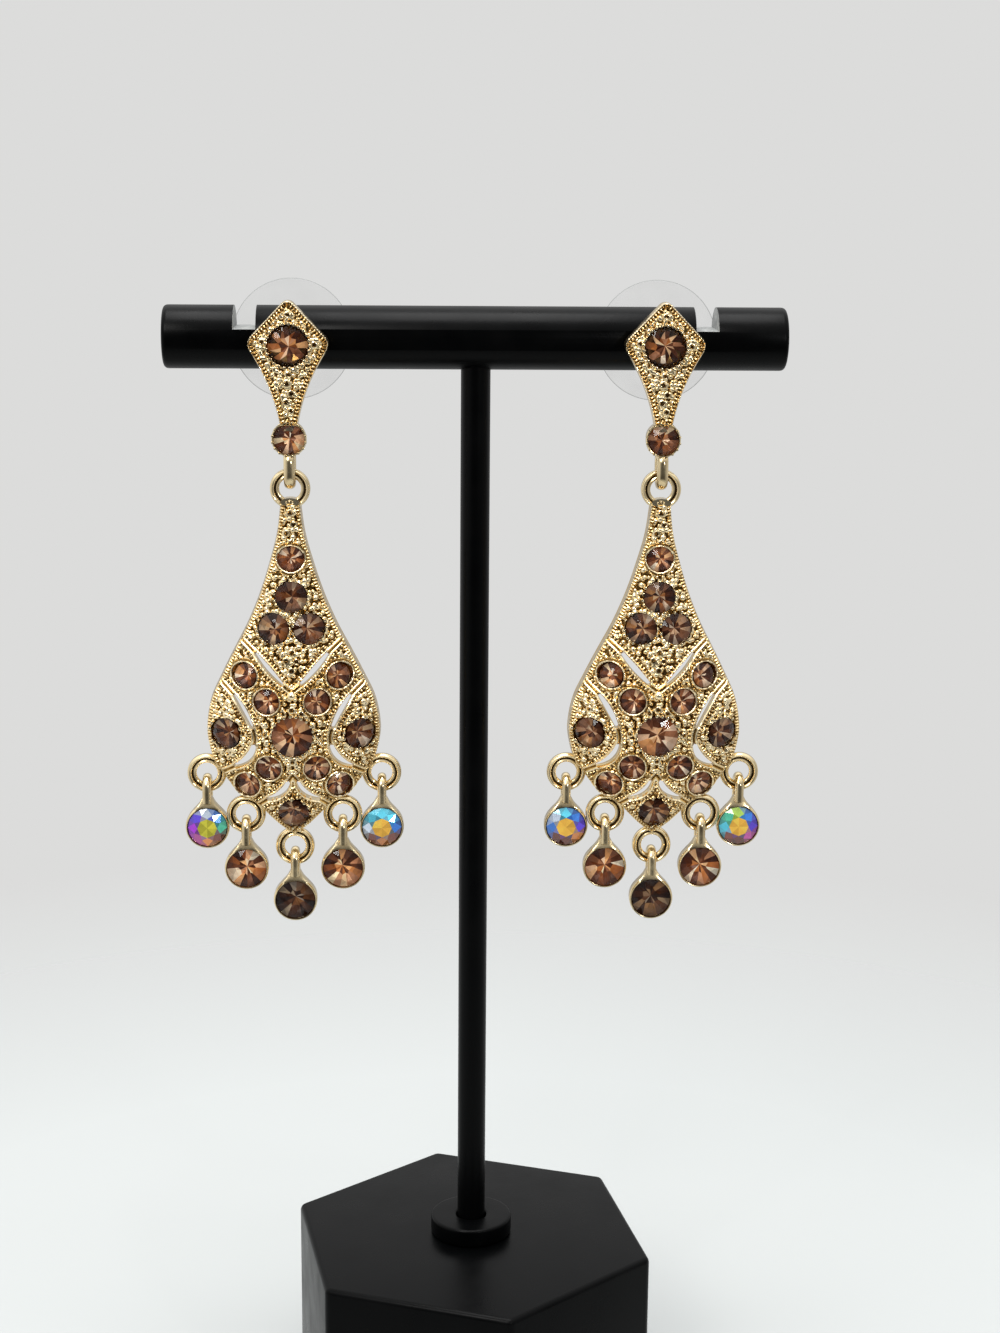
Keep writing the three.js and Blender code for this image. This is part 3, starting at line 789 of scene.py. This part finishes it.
def link_form():
    """The link over a ring, from the cup's shoulders: two legs in one arch."""
    top = DROP["length"] - RING["middle"]
    radius = RING["wire"] + LINK["room"] + LINK["wire"] / 2
    leg = top - DROP["radius"] - LINK["foot"]
    front = [(0, -radius, top - leg * t) for t in (1, 0.66, 0.33)]
    back = [(0, radius, top - leg * t) for t in (0.33, 0.66, 1)]
    path = front + half_turn(0.0, top, radius, 1) + back
    return swept(path, ellipse(LINK["wire"] / 2, LINK["width"] / 2, 14))


def drop_form(x, y, height):
    return cup_form().join(link_form()).moved((x, y, height - DROP["length"]))


# ---------------------------------------------------------------- cut stones
def crown(radius, rise, table, sides, turn):
    """The facets over a stone's girdle: (points, faces, kinds). A kind is (name, place round the stone)."""
    def circle(r, y, count, offset=0.0):
        angle = np.arange(count) * 2 * np.pi / count + turn + offset
        return np.stack([r * np.cos(angle), np.full(count, y), r * np.sin(angle)], -1)

    points = np.vstack([
        circle(radius * table, -rise, sides),
        circle(radius * (table + (1 - table) * 0.42), -rise * 0.72, sides, np.pi / sides),
        circle(radius, 0.0, sides * 2),
        [[0, -rise, 0]],
    ])
    star, girdle, middle = sides, 2 * sides, 4 * sides
    faces = [(middle, i, (i + 1) % sides) for i in range(sides)]
    kinds = [("table", i) for i in range(sides)]
    for i in range(sides):
        j, before, mid = (i + 1) % sides, (i - 1) % sides, girdle + 2 * i
        faces += [
            (i, star + i, j),
            (i, star + before, mid, star + i),
            (star + i, mid, mid + 1),
            (star + i, mid + 1, girdle + (2 * i + 2) % (2 * sides)),
        ]
        kinds += [("star", 2 * i + 1), ("kite", 2 * i), ("half", 2 * i), ("half", 2 * i + 1)]
    return points, faces, kinds


def stone_form(radius, seed, palette, table=0.5, rise=0.4, depth=0.7, sides=8, turn=None):
    """A round cut stone on y = 0, and a colour per face. Slot 0 is the glass of the crown, slot 1 the foil."""
    random = np.random.default_rng(seed)
    turn = random.uniform(0, 2 * np.pi / sides) if turn is None else turn
    over, faces, kinds = crown(radius, rise, table, sides, turn)
    count, glass_faces = 2 * sides, len(faces)

    def around(jitter):
        angle = (np.arange(count) + random.uniform(-jitter, jitter, count)) * 2 * np.pi / count + turn
        return np.stack([np.cos(angle), np.zeros(count), np.sin(angle)], -1)

    low = around(0.0) * radius + [0, 0.08, 0]
    waist = around(0.42) * radius * 0.36 + [0, 0.08 + depth * 0.6, 0]
    waist[::2] += waist[::2] * [0.3, 0.06, 0.3]
    tip = [[random.uniform(-0.06, 0.06) * radius, depth, random.uniform(-0.06, 0.06) * radius]]
    foil, girdle = len(over), len(over) - count - 1
    for i in range(count):
        j = (i + 1) % count
        faces += [
            (girdle + i, foil + i, foil + j, girdle + j),
            (foil + i, foil + count + i, foil + count + j, foil + j),
            (foil + count + i, foil + 2 * count, foil + count + j),
        ]
        kinds += [("girdle", i), ("wedge", i), ("core", i)]
    form = Form().add(np.vstack([over, low, waist, tip]), faces)
    form.slots = [int(i >= glass_faces) for i in range(len(faces))]
    return form, palette(kinds, random)


# ---------------------------------------------------------------- materials
def srgb(r, g, b):
    """A colour as read off a screen, 0 to 255, as the linear one that shaders take."""
    return tuple(c / 255 / 12.92 if c <= 10 else ((c / 255 + 0.055) / 1.055) ** 2.4 for c in (r, g, b)) + (1.0,)


class Graph:
    """A node tree, built up by short calls. An input is a number, a colour or another node's output."""

    def __init__(self, owner):
        owner.use_nodes = True
        self.owner, self.tree = owner, owner.node_tree
        self.shader = self.tree.nodes.get("Principled BSDF")

    def fill(self, node, inputs):
        for key, value in inputs.items():
            if isinstance(value, bpy.types.NodeSocket):
                self.tree.links.new(value, node.inputs[key])
            else:
                node.inputs[key].default_value = value

    def node(self, kind, inputs, output=0, **settings):
        node = self.tree.nodes.new("ShaderNode" + kind)
        for key, value in settings.items():
            setattr(node, key, value)
        self.fill(node, inputs)
        return node.outputs[output]

    def noise(self, scale, detail=3.0):
        place = self.node("TexCoord", {}, "Object")
        return self.node("TexNoise", {"Vector": place, "Scale": scale, "Detail": detail, "Roughness": 0.55}, "Fac")

    def spread(self, value, to_low, to_high, low=0.3, high=0.7):
        limits = {"From Min": low, "From Max": high, "To Min": to_low, "To Max": to_high}
        return self.node("MapRange", {"Value": value, **limits}, "Result")

    def add(self, a, b, **settings):
        return self.node("Math", {0: a, 1: b}, **settings)

    def ramp(self, value, stops):
        output = self.node("ValToRGB", {"Fac": value}, "Color")
        elements = output.node.color_ramp.elements
        while len(elements) < len(stops):
            elements.new(0.5)
        for element, (place, colour) in zip(elements, stops):
            element.position, element.color = place, colour
        return output

    def bump(self, height, strength, distance):
        return self.node("Bump", {"Height": height, "Strength": strength, "Distance": distance}, "Normal")

    def blend(self, factor, a, b, **settings):
        return self.node("Mix", {"Factor": factor, 6: a, 7: b}, 2, data_type="RGBA", **settings)

    def tint_and_painted_light(self, dull, scale, most):
        """The facets' colours, a tint with painted light and shade, with a faint clouding towards a dull one."""
        cloud = self.spread(self.noise(scale, 2.0), 0.0, most, 0.4)
        own = self.node("Attribute", {}, "Color", attribute_name="tint_and_painted_light")
        return self.blend(cloud, own, dull, blend_type="MULTIPLY")


def new_material(name):
    return Graph(bpy.data.materials.new(name))


def plating(name, stops, coarse, shift, fine, roughness, relief):
    """Plated metal, coloured by the relief's painted shading: painted shade in the recesses, painted highlight on
    high ground. coarse and fine are the (scale, detail) of its grain.
    """
    graph = new_material(name)
    tone = graph.node("Attribute", {}, "Fac", attribute_name="tone")
    shade = graph.add(tone, graph.spread(graph.noise(*coarse), *shift))
    grain = graph.noise(*fine)
    graph.fill(graph.shader, {
        "Metallic": 1.0, "Base Color": graph.ramp(shade, stops),
        "Roughness": graph.spread(grain, *roughness), "Normal": graph.bump(grain, *relief),
    })
    return graph.owner


def foil_material():
    """Foil under glass, in its own tint, with a painted glow: it glows faintly in that tint though it is no lamp."""
    graph = new_material("tinted_foil")
    tint_and_painted_light = graph.tint_and_painted_light((0.8, 0.7, 0.62, 1), 1400.0, 0.5)
    graph.fill(graph.shader, {
        # the emission is a painted glow
        "Base Color": tint_and_painted_light, "Emission Color": tint_and_painted_light, "Emission Strength": 0.36,
        "Metallic": 0.12, "Roughness": 0.28, "Specular IOR Level": 0.3,
    })
    return graph.owner


def glass_material():
    """Smoky glass of a crown over the foil: clear, with a faint tint on each facet that is darker on some as painted
    shade, and a hard gloss.
    """
    graph = new_material("smoky_glass")
    graph.tree.nodes.remove(graph.shader)
    through = graph.node("BsdfTransparent", {"Color": graph.tint_and_painted_light((0.86, 0.78, 0.7, 1), 700.0, 0.3)})
    gloss = graph.node("BsdfGlossy", {"Roughness": 0.03})
    fresnel = graph.node("Fresnel", {"IOR": 1.36})
    glass = graph.node("MixShader", {"Fac": fresnel, 1: through, 2: gloss})
    graph.fill(graph.tree.nodes["Material Output"], {"Surface": glass})
    return graph.owner


def rainbow_material():
    """A crown with an iridescent coating: each facet is painted its own colour, the coating's tint with painted
    light and shade.
    """
    graph = new_material("iridescent_glass")
    graph.fill(graph.shader, {
        "Base Color": graph.tint_and_painted_light((0.75, 0.8, 0.85, 1), 1400.0, 0.5), "Metallic": 0.15,
        "Roughness": 0.15, "Coat Weight": 1.0, "Coat Roughness": 0.02,
    })
    return graph.owner


def black_material():
    graph = new_material("satin_black")
    wear = graph.noise(220.0, 4.0)
    graph.fill(graph.shader, {
        "Base Color": graph.ramp(wear, [(0.3, (0.0003, 0.0004, 0.0005, 1)), (0.75, (0.0009, 0.001, 0.0011, 1))]),
        "Roughness": graph.spread(wear, 0.26, 0.36), "Specular IOR Level": 0.065,
        "Normal": graph.bump(graph.noise(3200.0, 2.0), 0.2, 0.00003),
    })
    return graph.owner


def bare_material():
    """The cut faces of the bar's notches: dull grey."""
    graph = new_material("bare_cut")
    grain = graph.ramp(graph.noise(1500.0), [(0.3, srgb(96, 98, 98)), (0.7, srgb(150, 152, 150))])
    graph.fill(graph.shader, {"Base Color": grain, "Roughness": 0.5})
    return graph.owner


def plastic_material():
    """Clear soft plastic: nearly gone face on, with a painted reflection that makes it greyer where it is seen edge
    on.
    """
    graph = new_material("clear_plastic")
    # the facing weight paints a grey reflection on the rims
    facing = graph.node("LayerWeight", {"Blend": 0.5}, "Facing")
    edge = graph.add(facing, 2.2, operation="POWER")
    veil = graph.spread(graph.noise(300.0), 0.02, 0.06)
    graph.fill(graph.shader, {
        "Base Color": srgb(112, 116, 114), "Roughness": 0.2, "Alpha": graph.add(edge, veil, use_clamp=True),
    })
    return graph.owner


# pale plated gold, coloured by the painted shading: a paler, brighter painted highlight on high ground and amber
# painted shade in the recesses
GOLD = plating("plated_gold", [
    (0.0, srgb(88, 64, 30)), (0.3, srgb(168, 137, 84)), (0.65, srgb(224, 196, 142)), (1.0, srgb(248, 229, 188)),
], (900.0,), (-0.12, 0.12), (2600.0,), (0.14, 0.24), (0.25, 0.00004))
# the plainer, paler plating of rings, links and cups, coloured by the same painted shading
WIRE = plating("pale_plating", [
    (0.0, srgb(100, 79, 48)), (0.5, srgb(182, 158, 116)), (1.0, srgb(224, 205, 164)),
], (500.0, 4.0), (-0.22, 0.1), (500.0, 4.0), (0.12, 0.26), (0.3, 0.0001))
FOIL, GLASS, RAINBOW_GLASS = foil_material(), glass_material(), rainbow_material()
BLACK, BARE, PLASTIC = black_material(), bare_material(), plastic_material()

# ---------------------------------------------------------------- stones in place
# tints of smoky glass from dark to light, one row warmer than the other; the darkest stand for painted shade and the
# lightest for painted glints
SMOKY = np.array([
    [srgb(50, 18, 6), srgb(114, 60, 28), srgb(174, 108, 58), srgb(226, 168, 108), srgb(255, 230, 192)],
    [srgb(60, 28, 16), srgb(126, 78, 52), srgb(184, 132, 98), srgb(230, 190, 152), srgb(255, 240, 220)],
])
WEDGES = 16
LIGHTEST = 1.25
# what each kind of crown facet lets through, less on the outer facets as painted shade
CROWN_VEIL_AND_SHADE = {"table": 1.0, "star": 0.95, "kite": 0.9, "half": 0.74}
# how light each smoky stone is painted: painted light and shade, set stone by stone
STONE_PAINTED_LIGHT = {
    "stud": 1.05, "neck": 1.1, "row_stone": 0.6, "pair_stone_left": 0.66, "pair_stone_right": 0.66,
    "centre_stone": 1.05, "side_stone_left": 0.66, "side_stone_right": 0.66, "bottom_stone": 0.66,
    "small": 1.1, "drop": 1.2, "lowest": 0.34,
}
# tints of the iridescent stones; white stands for a painted glint
COATING = {
    "yellow": srgb(206, 200, 70), "amber": srgb(255, 196, 84), "white": srgb(204, 218, 236),
    "aqua": srgb(96, 222, 250), "blue": srgb(70, 140, 240), "violet": srgb(104, 76, 232),
    "purple": srgb(172, 44, 216), "rose": srgb(214, 84, 178), "brown": srgb(124, 56, 40),
    "orange": srgb(226, 140, 70), "green": srgb(96, 216, 180), "lime": srgb(196, 238, 96),
}
# their facets: the table, then from the top anticlockwise seen from the front
RAINBOW = {
    ("left", 1): "yellow white violet purple rose orange brown green blue",
    ("left", 5): "amber aqua aqua white brown orange brown blue aqua",
    ("right", 1): "amber aqua white blue brown brown orange violet blue",
    ("right", 5): "amber lime green aqua brown brown rose violet blue",
}
# painted light and shade: how light each kind of facet is painted, spread at random
RAINBOW_SHADE = {"table": 1.4, "star": 0.85, "kite": 1.25, "half": 0.75}


def smoky(name):
    """Tints of one of the smoky stones, with painted light and shade: light and dark wedges, lighter towards one
    side, with a few slivers of either as painted glints and painted dark reflections.
    """
    # depth is the stone's painted light and shade
    depth = STONE_PAINTED_LIGHT[name]

    def palette(kinds, random):
        phase = random.uniform(0, 2 * np.pi)
        around = np.arange(WEDGES) * 2 * np.pi / WEDGES
        light = 0.5 + 0.28 * np.sin(around + phase) + random.uniform(-0.3, 0.3, WEDGES)
        light[::2] -= 0.14
        for low, high in ((0.95, LIGHTEST), (0.0, 0.15)):
            for k in random.choice(WEDGES, 4, replace=False):
                light[k] = random.uniform(low, high)
        light = np.clip(light, 0, LIGHTEST)
        hue = random.integers(0, 2, WEDGES)
        colours = []
        for kind, i in kinds:
            if kind in CROWN_VEIL_AND_SHADE:
                veil = CROWN_VEIL_AND_SHADE[kind] * random.uniform(0.66, 1.08)
                colours.append(np.clip(np.array([1, 0.97, 0.94, 1]) * veil, 0, 1))
                continue
            # the facets round the culet get the tints of wedges five places on, a painted reflection as if seen
            # through others
            row = SMOKY[hue[i % WEDGES]]
            last = len(row) - 1
            place = light[(i + 5 * (kind == "core")) % WEDGES] * last / LIGHTEST
            low = int(place)
            colour = row[low] * (1 - place + low) + row[min(low + 1, last)] * (place - low)
            # the girdle band is painted the darkest tint, as shade
            if kind == "girdle":
                colour = SMOKY[0][0].copy()
            colour[:3] *= depth
            colours.append(np.clip(colour, 0, 1))
        return colours

    return palette


def rainbow(chart):
    """Tints of an iridescent stone from its chart: one for the table, and eight round it."""
    table, *rim = [np.array(COATING[name]) for name in chart.split()]

    def palette(kinds, random):
        colours = []
        for kind, i in kinds:
            colour = table if kind == "table" else rim[(i // 2) % 8]
            if kind == "star":
                colour = 0.75 * colour + 0.25 * rim[(i // 2 + 3) % 8]
            if kind == "half" and i % 2:
                colour = 0.6 * colour + 0.4 * rim[(i // 2 + 1) % 8]
            shade = RAINBOW_SHADE.get(kind, 0.1) * random.uniform(0.45, 0.85)
            colours.append([*np.clip(colour[:3] * shade, 0, 0.95), 1.0])
        return colours

    return palette


def facing(normal):
    return Vector((0, -1, 0)).rotation_difference(Vector(normal)).to_matrix().to_4x4()


def tinted_piece(name, form, colours, body, slot="smoky_stone", replaces=()):
    """A piece of cut glass on its foil, with a colour for each face: its tint with painted light and shade."""
    glass = RAINBOW_GLASS if slot == "rainbow_stone" else GLASS
    piece = make(name, form, [glass, FOIL], body, replaces, smooth=0)
    tint_and_painted_light = piece.data.color_attributes.new("tint_and_painted_light", "FLOAT_COLOR", "CORNER")
    for polygon, colour in zip(piece.data.polygons, colours):
        for corner in polygon.loop_indices:
            tint_and_painted_light.data[corner].color = colour


def gem(name, cut, place, body, replaces, normal=None, slot="smoky_stone"):
    """One stone. place is the middle of its girdle, and its table faces -Y or its normal's way."""
    form, colours = cut
    if normal is not None:
        form.turned(facing(normal))
    tinted_piece(name, form.moved(place), colours, body, slot, [replaces])


# ---------------------------------------------------------------- the stand
def primitive(name, operator, **options):
    """An object made by one of bmesh's own operators."""
    mesh = bpy.data.meshes.new(name)
    build = bmesh.new()
    operator(build, **options)
    build.to_mesh(mesh)
    build.free()
    thing = bpy.data.objects.new(name, mesh)
    bpy.context.scene.collection.objects.link(thing)
    return thing


def turned_z(rows, sides):
    """A turned form round Z from (radius, height) rows."""
    return revolved(rows, sides).turned(Matrix.Rotation(math.radians(90), 4, "X"))


def bevelled(name, form, materials, replaces, width, segments, cutters=()):
    """A piece of the stand with its sharp edges bevelled, after the cutters are taken out of it."""
    piece = make(name, form, materials, "stand", replaces, smooth=0)
    for cutter in cutters:
        cut = piece.modifiers.new("cut", "BOOLEAN")
        cut.object, cut.solver, cut.operation = cutter, "EXACT", "DIFFERENCE"
    bevel = piece.modifiers.new("bevel", "BEVEL")
    bevel.width, bevel.segments = width * MM, segments
    bevel.limit_method, bevel.angle_limit = "ANGLE", math.radians(32)
    settled = bpy.data.meshes.new_from_object(piece.evaluated_get(bpy.context.evaluated_depsgraph_get()))
    piece.modifiers.clear()
    piece.data = settled
    shade_smooth(settled, 28)
    return piece


def base_piece():
    angle = np.radians(BASE_TURN + 60 * np.arange(6))
    ring = np.stack([np.cos(angle), np.sin(angle)], -1) * BASE_RADIUS
    net = [np.column_stack([ring, np.full(6, height)]) for height in (0.0, BASE_HEIGHT)]
    form = Form().add(np.vstack(net), net_faces(2, 6, capped=True))
    bevelled("stand_base", form, [BLACK], ["base_block"], 0.6, 4)


def collar_piece():
    low, high = BASE_HEIGHT + 0.04, COLLAR_HIGH[2]
    bore = POST_RADIUS + 0.08
    middle = (bore, (low + high) / 2)
    rows = [middle, (bore, high), (COLLAR_RADIUS, high), (COLLAR_RADIUS, low), (bore, low), middle]
    form = turned_z(rounded(rows, 0.35), 72)
    make("stand_collar", form, [BLACK], "stand", ["base_collar"], 35)


def post_piece():
    rows = [(POST_RADIUS, BASE_HEIGHT - 5), (POST_RADIUS, BAR_AXIS - BAR_RADIUS + 2)]
    make("stand_post", turned_z(rows, 48), [BLACK], "stand", ["upright_post"], 40)


def notch_cutter(x):
    half, floor = NOTCH["width"] / 2, BAR_AXIS + NOTCH["floor"]
    low, high = np.array([x - half, -6, floor]) * MM, np.array([x + half, 6, floor + 9]) * MM
    box = primitive("cutter", bmesh.ops.create_cube, size=1.0)
    box.location, box.scale = (low + high) / 2, high - low
    return box


def pin_cutter(x):
    size = {"radius1": PIN_HOLE_RADIUS * MM, "radius2": PIN_HOLE_RADIUS * MM, "depth": 20 * MM}
    pin = primitive("cutter", bmesh.ops.create_cone, cap_ends=True, segments=40, **size)
    pin.rotation_euler = (math.radians(90), 0, 0)
    pin.location = (x * MM, 0, BAR_AXIS * MM)
    return pin


def bar_piece():
    end = BAR_LENGTH / 2
    profile = rounded([(0.01, -end), (BAR_RADIUS, -end), (BAR_RADIUS, end), (0.01, end)], 0.55, 5)
    form = revolved(profile, 96)
    form.turned(Matrix.Rotation(math.radians(-90), 4, "Z")).moved((0, 0, BAR_AXIS))
    cutters = [notch_cutter(side * NOTCH["x"]) for side in (-1, 1)]
    cutters += [pin_cutter(x) for x in EARRINGS.values()]
    bpy.context.view_layer.update()
    piece = bevelled("stand_crossbar", form, [BLACK, BARE], ["crossbar"], 0.1, 2, cutters)
    for cutter in cutters:
        bpy.data.objects.remove(cutter)
    # the cut faces of the notches are bare
    for polygon in piece.data.polygons:
        x, _, z = np.array(polygon.center) / MM
        in_notch = abs(abs(x) - NOTCH["x"]) < NOTCH["width"] / 2 + 0.02
        polygon.material_index = int(in_notch and z > BAR_AXIS + NOTCH["floor"] - 0.05)


def clutch_form():
    radius, front, thick = CLUTCH["radius"], CLUTCH["front"], CLUTCH["thickness"]
    hub, back, bore = CLUTCH["hub"], CLUTCH["hub_back"], PIN["radius"] + 0.08
    middle = (bore, (front + back) / 2)
    rows = rounded([middle, (bore, back), (hub - 0.3, back), (hub, front + thick), (radius, front + thick),
                    (radius, front), (bore, front), middle], 0.28)
    return revolved(rows[:-1], 96, closed=True).moved((0, 0, PIN["height"]))


# ---------------------------------------------------------------- everything in place
CASTINGS = {}  # the left earring's pieces, whose meshes the right one shares


def shared_piece(side, part, replaces, form, materials, body, smooth=40.0):
    name, replaces, across = f"{side}_{part}", [f"{side}_{replaces}"], EARRINGS[side]
    if side == "left":
        home = (across, 0, BAR_AXIS)
        CASTINGS[part] = make(name, form.moved(home), materials, body, replaces, smooth)
    else:
        piece = bpy.data.objects.new(name, CASTINGS[part].data)
        piece.location = Vector((across - EARRINGS["left"], 0, 0)) * MM
        settle(piece, body, replaces)


def plate_stones(side, body, seed):
    across = EARRINGS[side]
    for i, (name, x, height, radius) in enumerate(PLATE_STONES):
        normal = outward(front_y, x, height)
        place = np.array([across + x, float(front_y(x, height)), BAR_AXIS + height]) + normal * 0.02
        cut = stone_form(radius, seed + 10 + i, smoky(name))
        gem(f"{side}_{name.replace('stone', 'gem')}", cut, place, body, f"{side}_{name}", normal)
    small, tints = Form(), []
    for x, height, radius in SMALLS:
        normal = outward(front_y, x, height)
        place = np.array([across + x, float(front_y(x, height)), BAR_AXIS + height]) - normal * 0.02
        own_seed = seed + int(abs(height) * 10) + (x > 0)
        form, colours = stone_form(radius, own_seed, smoky("small"), rise=0.3, depth=0.6)
        small.join(form.turned(facing(normal)).moved(place))
        tints += colours
    tinted_piece(f"{side}_small_gems", small, tints, body)


def small_drops(side, body, seed):
    across = EARRINGS[side]
    for i, (x, height, edge) in enumerate(EDGE_RINGS, 1):
        y = float(wall_y(*edge))
        form = drop_form(across + x, y, BAR_AXIS + height)
        make(f"{side}_cup_{i}", form, [WIRE], body, [f"{side}_drop_cup_{i}"])
        chart = RAINBOW.get((side, i))
        tints = rainbow(chart) if chart else smoky("lowest" if i == 3 else "drop")
        # a chart's first facet is at the top
        turn = math.pi / 2 if chart else None
        cut = stone_form(DROP_GEM, seed + 40 + i, tints, rise=0.45, depth=0.9, turn=turn)
        place = (across + x, y - DROP["front"] + 0.06, BAR_AXIS + height - DROP["length"])
        slot = "rainbow_stone" if chart else "smoky_stone"
        gem(f"{side}_drop_gem_{i}", cut, place, body, f"{side}_drop_stone_{i}", slot=slot)


base_piece()
collar_piece()
post_piece()
bar_piece()

plate, stud, clutch = plate_form(), stud_form(), clutch_form()
SEEDS = {"left": 100, "right": 500}
for side, across in EARRINGS.items():
    seed, body = SEEDS[side], f"{side}_drop"
    shared_piece(side, "plate", "drop_plate", plate, [GOLD, WIRE], body)
    shared_piece(side, "stud", "stud_mount", stud, [GOLD, WIRE], "stand")
    shared_piece(side, "backing", "clutch", clutch, [PLASTIC], "stand", 50)
    place = (across, KITE["front"] + 0.1, BAR_AXIS + STUD_STONE_HEIGHT)
    gem(f"{side}_stud_gem", stone_form(LARGE, seed, smoky("stud")), place, "stand", f"{side}_stud_stone")
    cut = stone_form(SETTING["stone"], seed + 1, smoky("neck"))
    place = (across, SETTING["front"] + 0.12, BAR_AXIS + SETTING["height"])
    gem(f"{side}_neck_gem", cut, place, "stand", f"{side}_neck_stone")
    plate_stones(side, body, seed)
    small_drops(side, body, seed)


# ---------------------------------------------------------------- floor, light and camera
BACKDROP = srgb(220, 220, 219)
# the studio's light, as (axis, where it starts, where it is full, how bright); a little comes from all round
STUDIO = [("Z", 0.25, 0.85, 1.4), ("Y", 0.1, 0.5, 0.42), ("X", -0.4, -0.9, 0.75), ("X", 0.5, 1.0, 0.5)]
STUDIO_BASE = 0.1
CAMERA = {"place": (-0.00645, -0.22876, 0.1366), "down": 12.98, "right": 2.29, "roll": 0.47, "lens": 60.93}


def floor_piece():
    """A round floor that fades out into the backdrop."""
    floor = primitive("floor", bmesh.ops.create_circle, cap_ends=True, segments=96, radius=0.6)
    floor.location = (0, 0, -0.0002)
    graph = new_material("floor")
    place = graph.node("TexCoord", {}, "Object")
    length = graph.node("VectorMath", {0: place}, "Value", operation="LENGTH")
    graph.fill(graph.shader, {
        "Base Color": (0.395, 0.411, 0.408, 1), "Roughness": 0.6, "Alpha": graph.spread(length, 1.0, 0.0, 0.09, 0.2),
    })
    floor.data.materials.append(graph.owner)


def world():
    """A pale backdrop for the camera, and for everything else a studio: bright above, behind and at the sides."""
    sky = bpy.data.worlds.new("studio")
    bpy.context.scene.world = sky
    graph = Graph(sky)
    axes = graph.node("SeparateXYZ", {0: graph.node("TexCoord", {}, "Generated")}).node.outputs
    light = None
    for axis, start, full, bright in STUDIO:
        part = graph.spread(axes[axis], 0.0, bright, start, full)
        light = graph.add(light, part) if light else part
    light = graph.add(light, STUDIO_BASE)
    studio = graph.node("CombineColor", {"Red": light, "Green": light, "Blue": light})
    seen = graph.node("LightPath", {}, "Is Camera Ray")
    background = graph.tree.nodes["Background"]
    graph.fill(background, {"Color": graph.blend(seen, studio, BACKDROP), "Strength": 1.0})


def area(name, place, target, size, power, colour=(1, 1, 1)):
    data = bpy.data.lights.new(name, "AREA")
    data.size, data.energy, data.color = size, power, colour
    lamp = bpy.data.objects.new(name, data)
    lamp.location = place
    lamp.rotation_euler = (Vector(target) - Vector(place)).to_track_quat("-Z", "Y").to_euler()
    bpy.context.scene.collection.objects.link(lamp)


def camera():
    data = bpy.data.cameras.new("camera")
    data.sensor_fit, data.sensor_width, data.lens = "AUTO", 36.0, CAMERA["lens"]
    data.clip_start, data.clip_end = 0.01, 20.0
    view = bpy.data.objects.new("camera", data)
    down, right, roll = (math.radians(CAMERA[key]) for key in ("down", "right", "roll"))
    ahead = Vector((math.sin(right) * math.cos(down), math.cos(right) * math.cos(down), -math.sin(down)))
    across = Vector((math.cos(right), -math.sin(right), 0))
    above = across.cross(ahead)
    x_axis = math.cos(roll) * across + math.sin(roll) * above
    y_axis = -math.sin(roll) * across + math.cos(roll) * above
    axes = Matrix((x_axis, y_axis, -ahead)).transposed().to_4x4()
    view.matrix_world = Matrix.Translation(CAMERA["place"]) @ axes
    bpy.context.scene.collection.objects.link(view)
    bpy.context.scene.camera = view


floor_piece()
world()
area("overhead", (0.0, -0.02, 0.5), (0, 0, 0.08), 0.26, 1.8)
area("key", (-0.2, -0.36, 0.4), (0, 0, 0.08), 0.16, 1.0, (1.0, 0.98, 0.95))
area("spark", (0.22, -0.4, 0.2), (0, 0, 0.09), 0.04, 0.25)
camera()
scene = bpy.context.scene
scene.view_settings.view_transform = "Standard"
scene.view_settings.look = "None"
